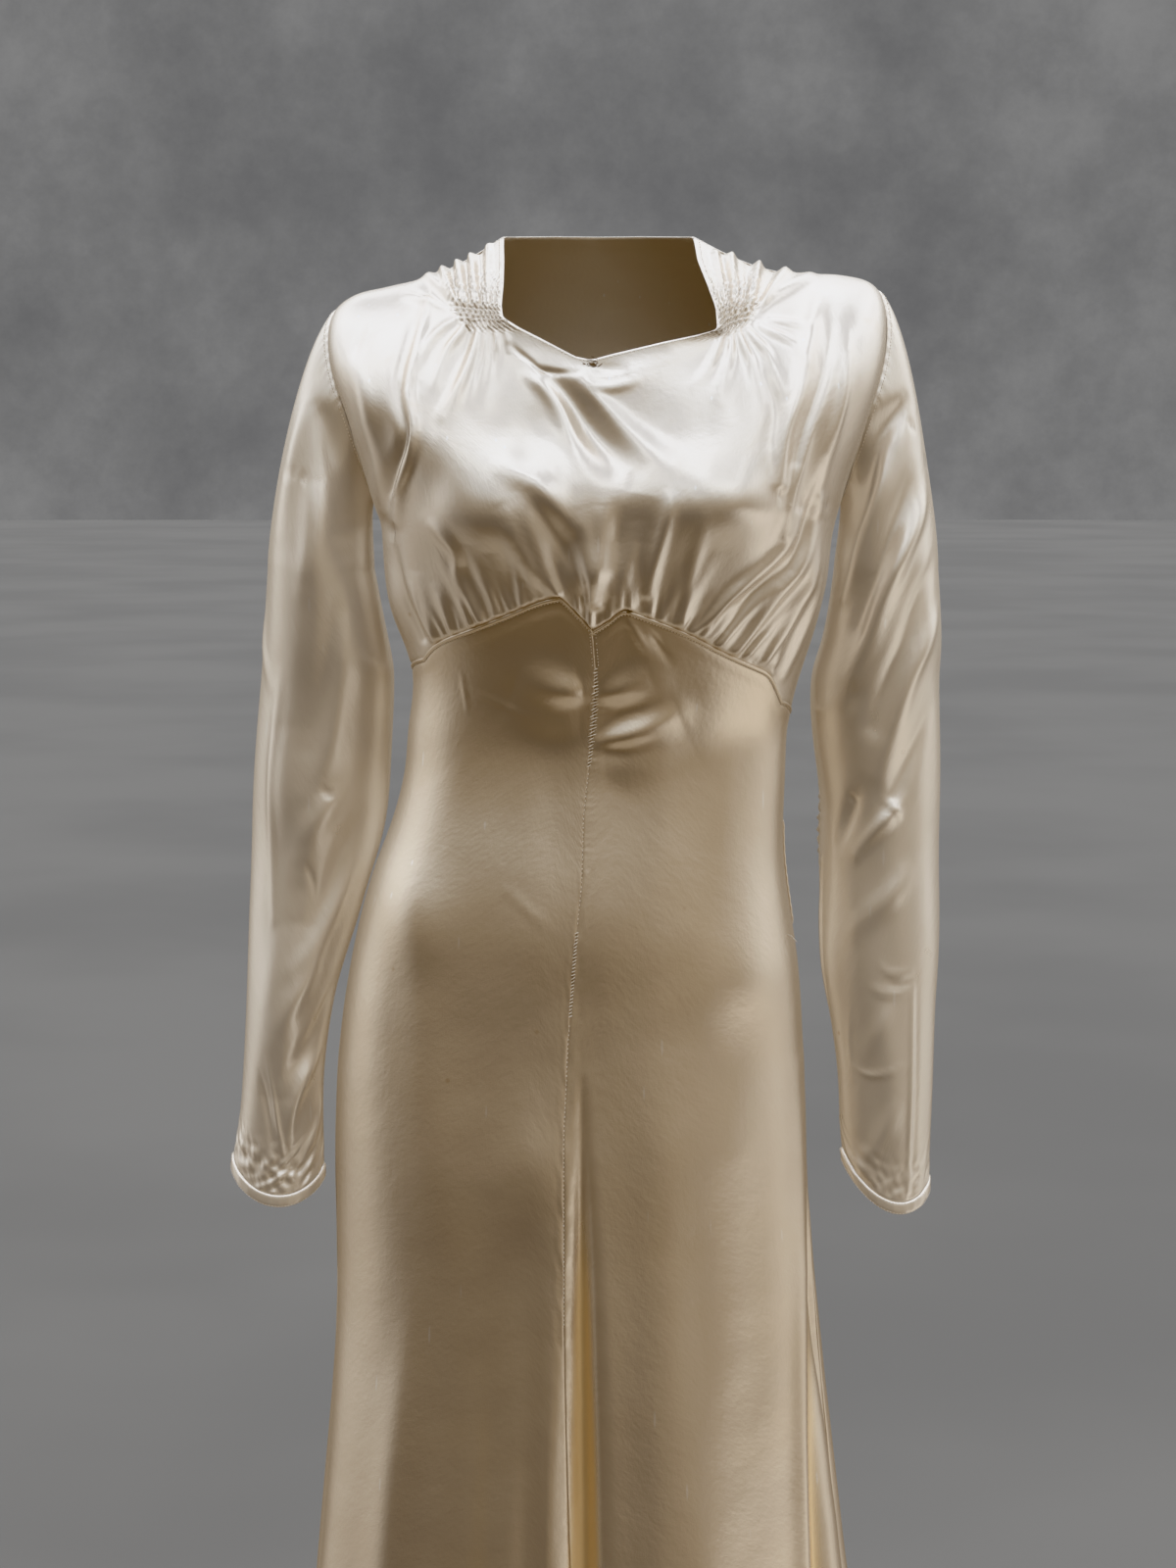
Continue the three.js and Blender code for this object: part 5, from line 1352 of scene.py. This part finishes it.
pieces = {
    "bodice_front": bodice_front(BODICE_LOOKS),
    "bodice_back": bodice_back(BODICE_LOOKS),
    "sleeve_right": sleeve("sleeve_right_satin", RIGHT_SLEEVE, RIGHT_FOLDS, SLEEVE_LOOKS),
    "sleeve_left": sleeve("sleeve_left_satin", LEFT_SLEEVE, LEFT_FOLDS, SLEEVE_LOOKS),
    "cuff_right": cuff("cuff_right_satin", RIGHT_SLEEVE, SLEEVE_LOOKS),
    "cuff_left": cuff("cuff_left_satin", LEFT_SLEEVE, SLEEVE_LOOKS),
    "skirt_front_right": skirt_panel("skirt_front_right_satin", -1, LOOKS),
    "skirt_front_left": skirt_panel("skirt_front_left_satin", 1, LOOKS),
    "skirt_back": skirt_back(LOOKS),
    "placket_edge": placket(LOOKS),
}
ARM_PIECES = ("sleeve_right", "sleeve_left", "cuff_right", "cuff_left")
for node in ARM_PIECES:
    pieces[node][0].visible_glossy = False
for node, (piece, _) in pieces.items():
    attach(piece, "root")
    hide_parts(node)

grids = {node: (outer, normals_of(outer, node in ARM_PIECES)) for node, (_, outer) in pieces.items()}
FINE, SMALL, COARSE, HOLE = (1.5, 0.55), (1.3, 0.5), (2.4, 0.65), (0.8, 0.5)   # length, thickness


def row_of(node, k, pitch, size):
    """Stitches along row k of a piece's outer grid, all round on the sleeves and cuffs."""
    line, out = (grid[k] for grid in grids[node])
    if node in ARM_PIECES:
        line, out = np.concatenate([line, line[:1]]), np.concatenate([out, out[:1]])
    return stitches(line, out, pitch, size)


def centre_line(top, bottom, shift=0.0):
    """The centre front seam between two heights, shifted across by some mm."""
    (right, right_out), (left, left_out) = grids["skirt_front_right"], grids["skirt_front_left"]
    line, out = (right[:, -1] + left[:, 0]) / 2, (right_out[:, -4] + left_out[:, 3]) / 2
    inside = (line[:, 2] <= top) & (line[:, 2] >= bottom)
    return line[inside] + (shift, 0, 0), out[inside]


def holes(rows):
    """Needle holes between the stitches of one line, as small dark beads: painted shade for the shadow in
    each hole.
    """
    between = rows[:-1].copy()
    between[:, :3] = mix(rows[:-1, :3], rows[1:, :3], 0.5) - rows[:-1, 6:9] * 0.08
    between[:, 9:11] = np.maximum(rows[:-1, 9:11] * (0.55, 0.8), HOLE)
    return between


ALONG = np.linspace(0.04, PUFF["from"] + PUFF["step"] * PUFF["count"], 40)
SHIRRED = [  # angle and ring number along each gathering stitch row
    (middle + drift * ALONG + k * STITCH_ROW["step"], ALONG)
    for middle, drift in SHIRRING for k in (-1.5, -0.5, 0.5, 1.5)]
SHEETS = [  # width and length of the cut in m, its area in square m, how it is held and what it hangs from
    ("bodice_back", (0.47, 0.45), 0.132, "hung", ()),
    ("bodice_front", (0.53, 0.46), 0.126, "gathered", ("bodice_back",)),
    ("sleeve_right", (0.32, 0.59), 0.138, "hung", ("bodice_front", "bodice_back")),
    ("sleeve_left", (0.34, 0.61), 0.140, "hung", ("bodice_front", "bodice_back")),
    ("cuff_right", (0.204, 0.010), None, "folded", ("sleeve_right",)),
    ("cuff_left", (0.204, 0.010), None, "folded", ("sleeve_left",)),
    ("skirt_front_right", (0.375, 1.17), 0.296, "hung", ("bodice_front",)),
    ("skirt_front_left", (0.395, 1.165), 0.312, "hung", ("bodice_front",)),
    ("skirt_back", (0.775, 1.12), 0.575, "hung", ("bodice_back",)),
    ("placket_edge", (0.010, 0.074), 0.0006, "folded", ("skirt_front_left",)),
]
FRONT_PANELS = ("skirt_front_right", "skirt_front_left")
waist = [row_of(node, 7, 2.2, FINE) for node in (*FRONT_PANELS, "skirt_back")]
double = [stitches(*centre_line(-262, -285, shift), 2.1, FINE) for shift in (-1.9, 1.9)]
zigzag = [stitches(*centre_line(-284, -353), 2.3, (3.4, 0.8), lean=-62, fuller=2.2)]
overcast = [stitches(*centre_line(-456, -516), 2.3, (3.6, 0.9), lean=-52)]
dotted = [stitches(*centre_line(*ends), 3.0, (1.6, 0.6)) for ends in ((-353, -456), (-516, -720))]
bust_grid = grids["bodice_front"]
bust = [stitches(*on_surface(*bust_grid, cloth(*row)), 2.6, COARSE) for row in SHIRRED]
cuff_rows = [row_of(node, k, 2.2, SMALL) for node in ("cuff_right", "cuff_left") for k in (3, -4)]
knot = tangle(*bust_grid, -2, -89, 16, 5, 0.5, 2.6)
bead = tangle(*bust_grid, 21, -247, 7, 2.4, 1.0, 0.8)
loose = tangle(*grids["skirt_front_left"], 131, -472, 5, 6, 0.45, 4)
tree = thread_nodes()
threads = {  # the threads of each piece, and its dark ones: needle holes painted as shade, and the knot and bead in dark brown thread
    "bodice_front": (bust + [row_of("bodice_front", 5, 2.6, SMALL)], [knot, bead]),
    "bodice_back": ([row_of("bodice_back", 4, 2.6, SMALL)], []),
    "skirt_front_right": (
        waist[:1] + double + zigzag + overcast + dotted,
        [holes(row) for row in waist[:1] + double + zigzag + overcast]),
    "skirt_front_left": ([waist[1], loose], [holes(waist[1])]),
    "skirt_back": (waist[2:], []),
    "sleeve_right": ([row_of("sleeve_right", 3, 2.4, FINE), cuff_rows[0]], []),
    "sleeve_left": ([row_of("sleeve_left", 3, 2.4, FINE), cuff_rows[2]], []),
    "cuff_right": ([cuff_rows[1]], []),
    "cuff_left": ([cuff_rows[3]], []),
}
sewn = {}
for node, rows in threads.items():
    sewn[node] = [
        sew(f"{node}_{kind}", tree, part, look)
        for kind, part, look in (("threads", rows[0], thread), ("aged_threads", rows[1], dark_thread_and_hole_shade)) if part]
    for piece in sewn[node]:
        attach(piece, "root")
for node, flat, area, held, hangs_from in SHEETS:
    on = [pieces[other][0] for other in hangs_from]
    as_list(sewn.get(node, ()))

boxes = [[list(map(float, corner)) for corner in box] for box in (cad_box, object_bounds())]
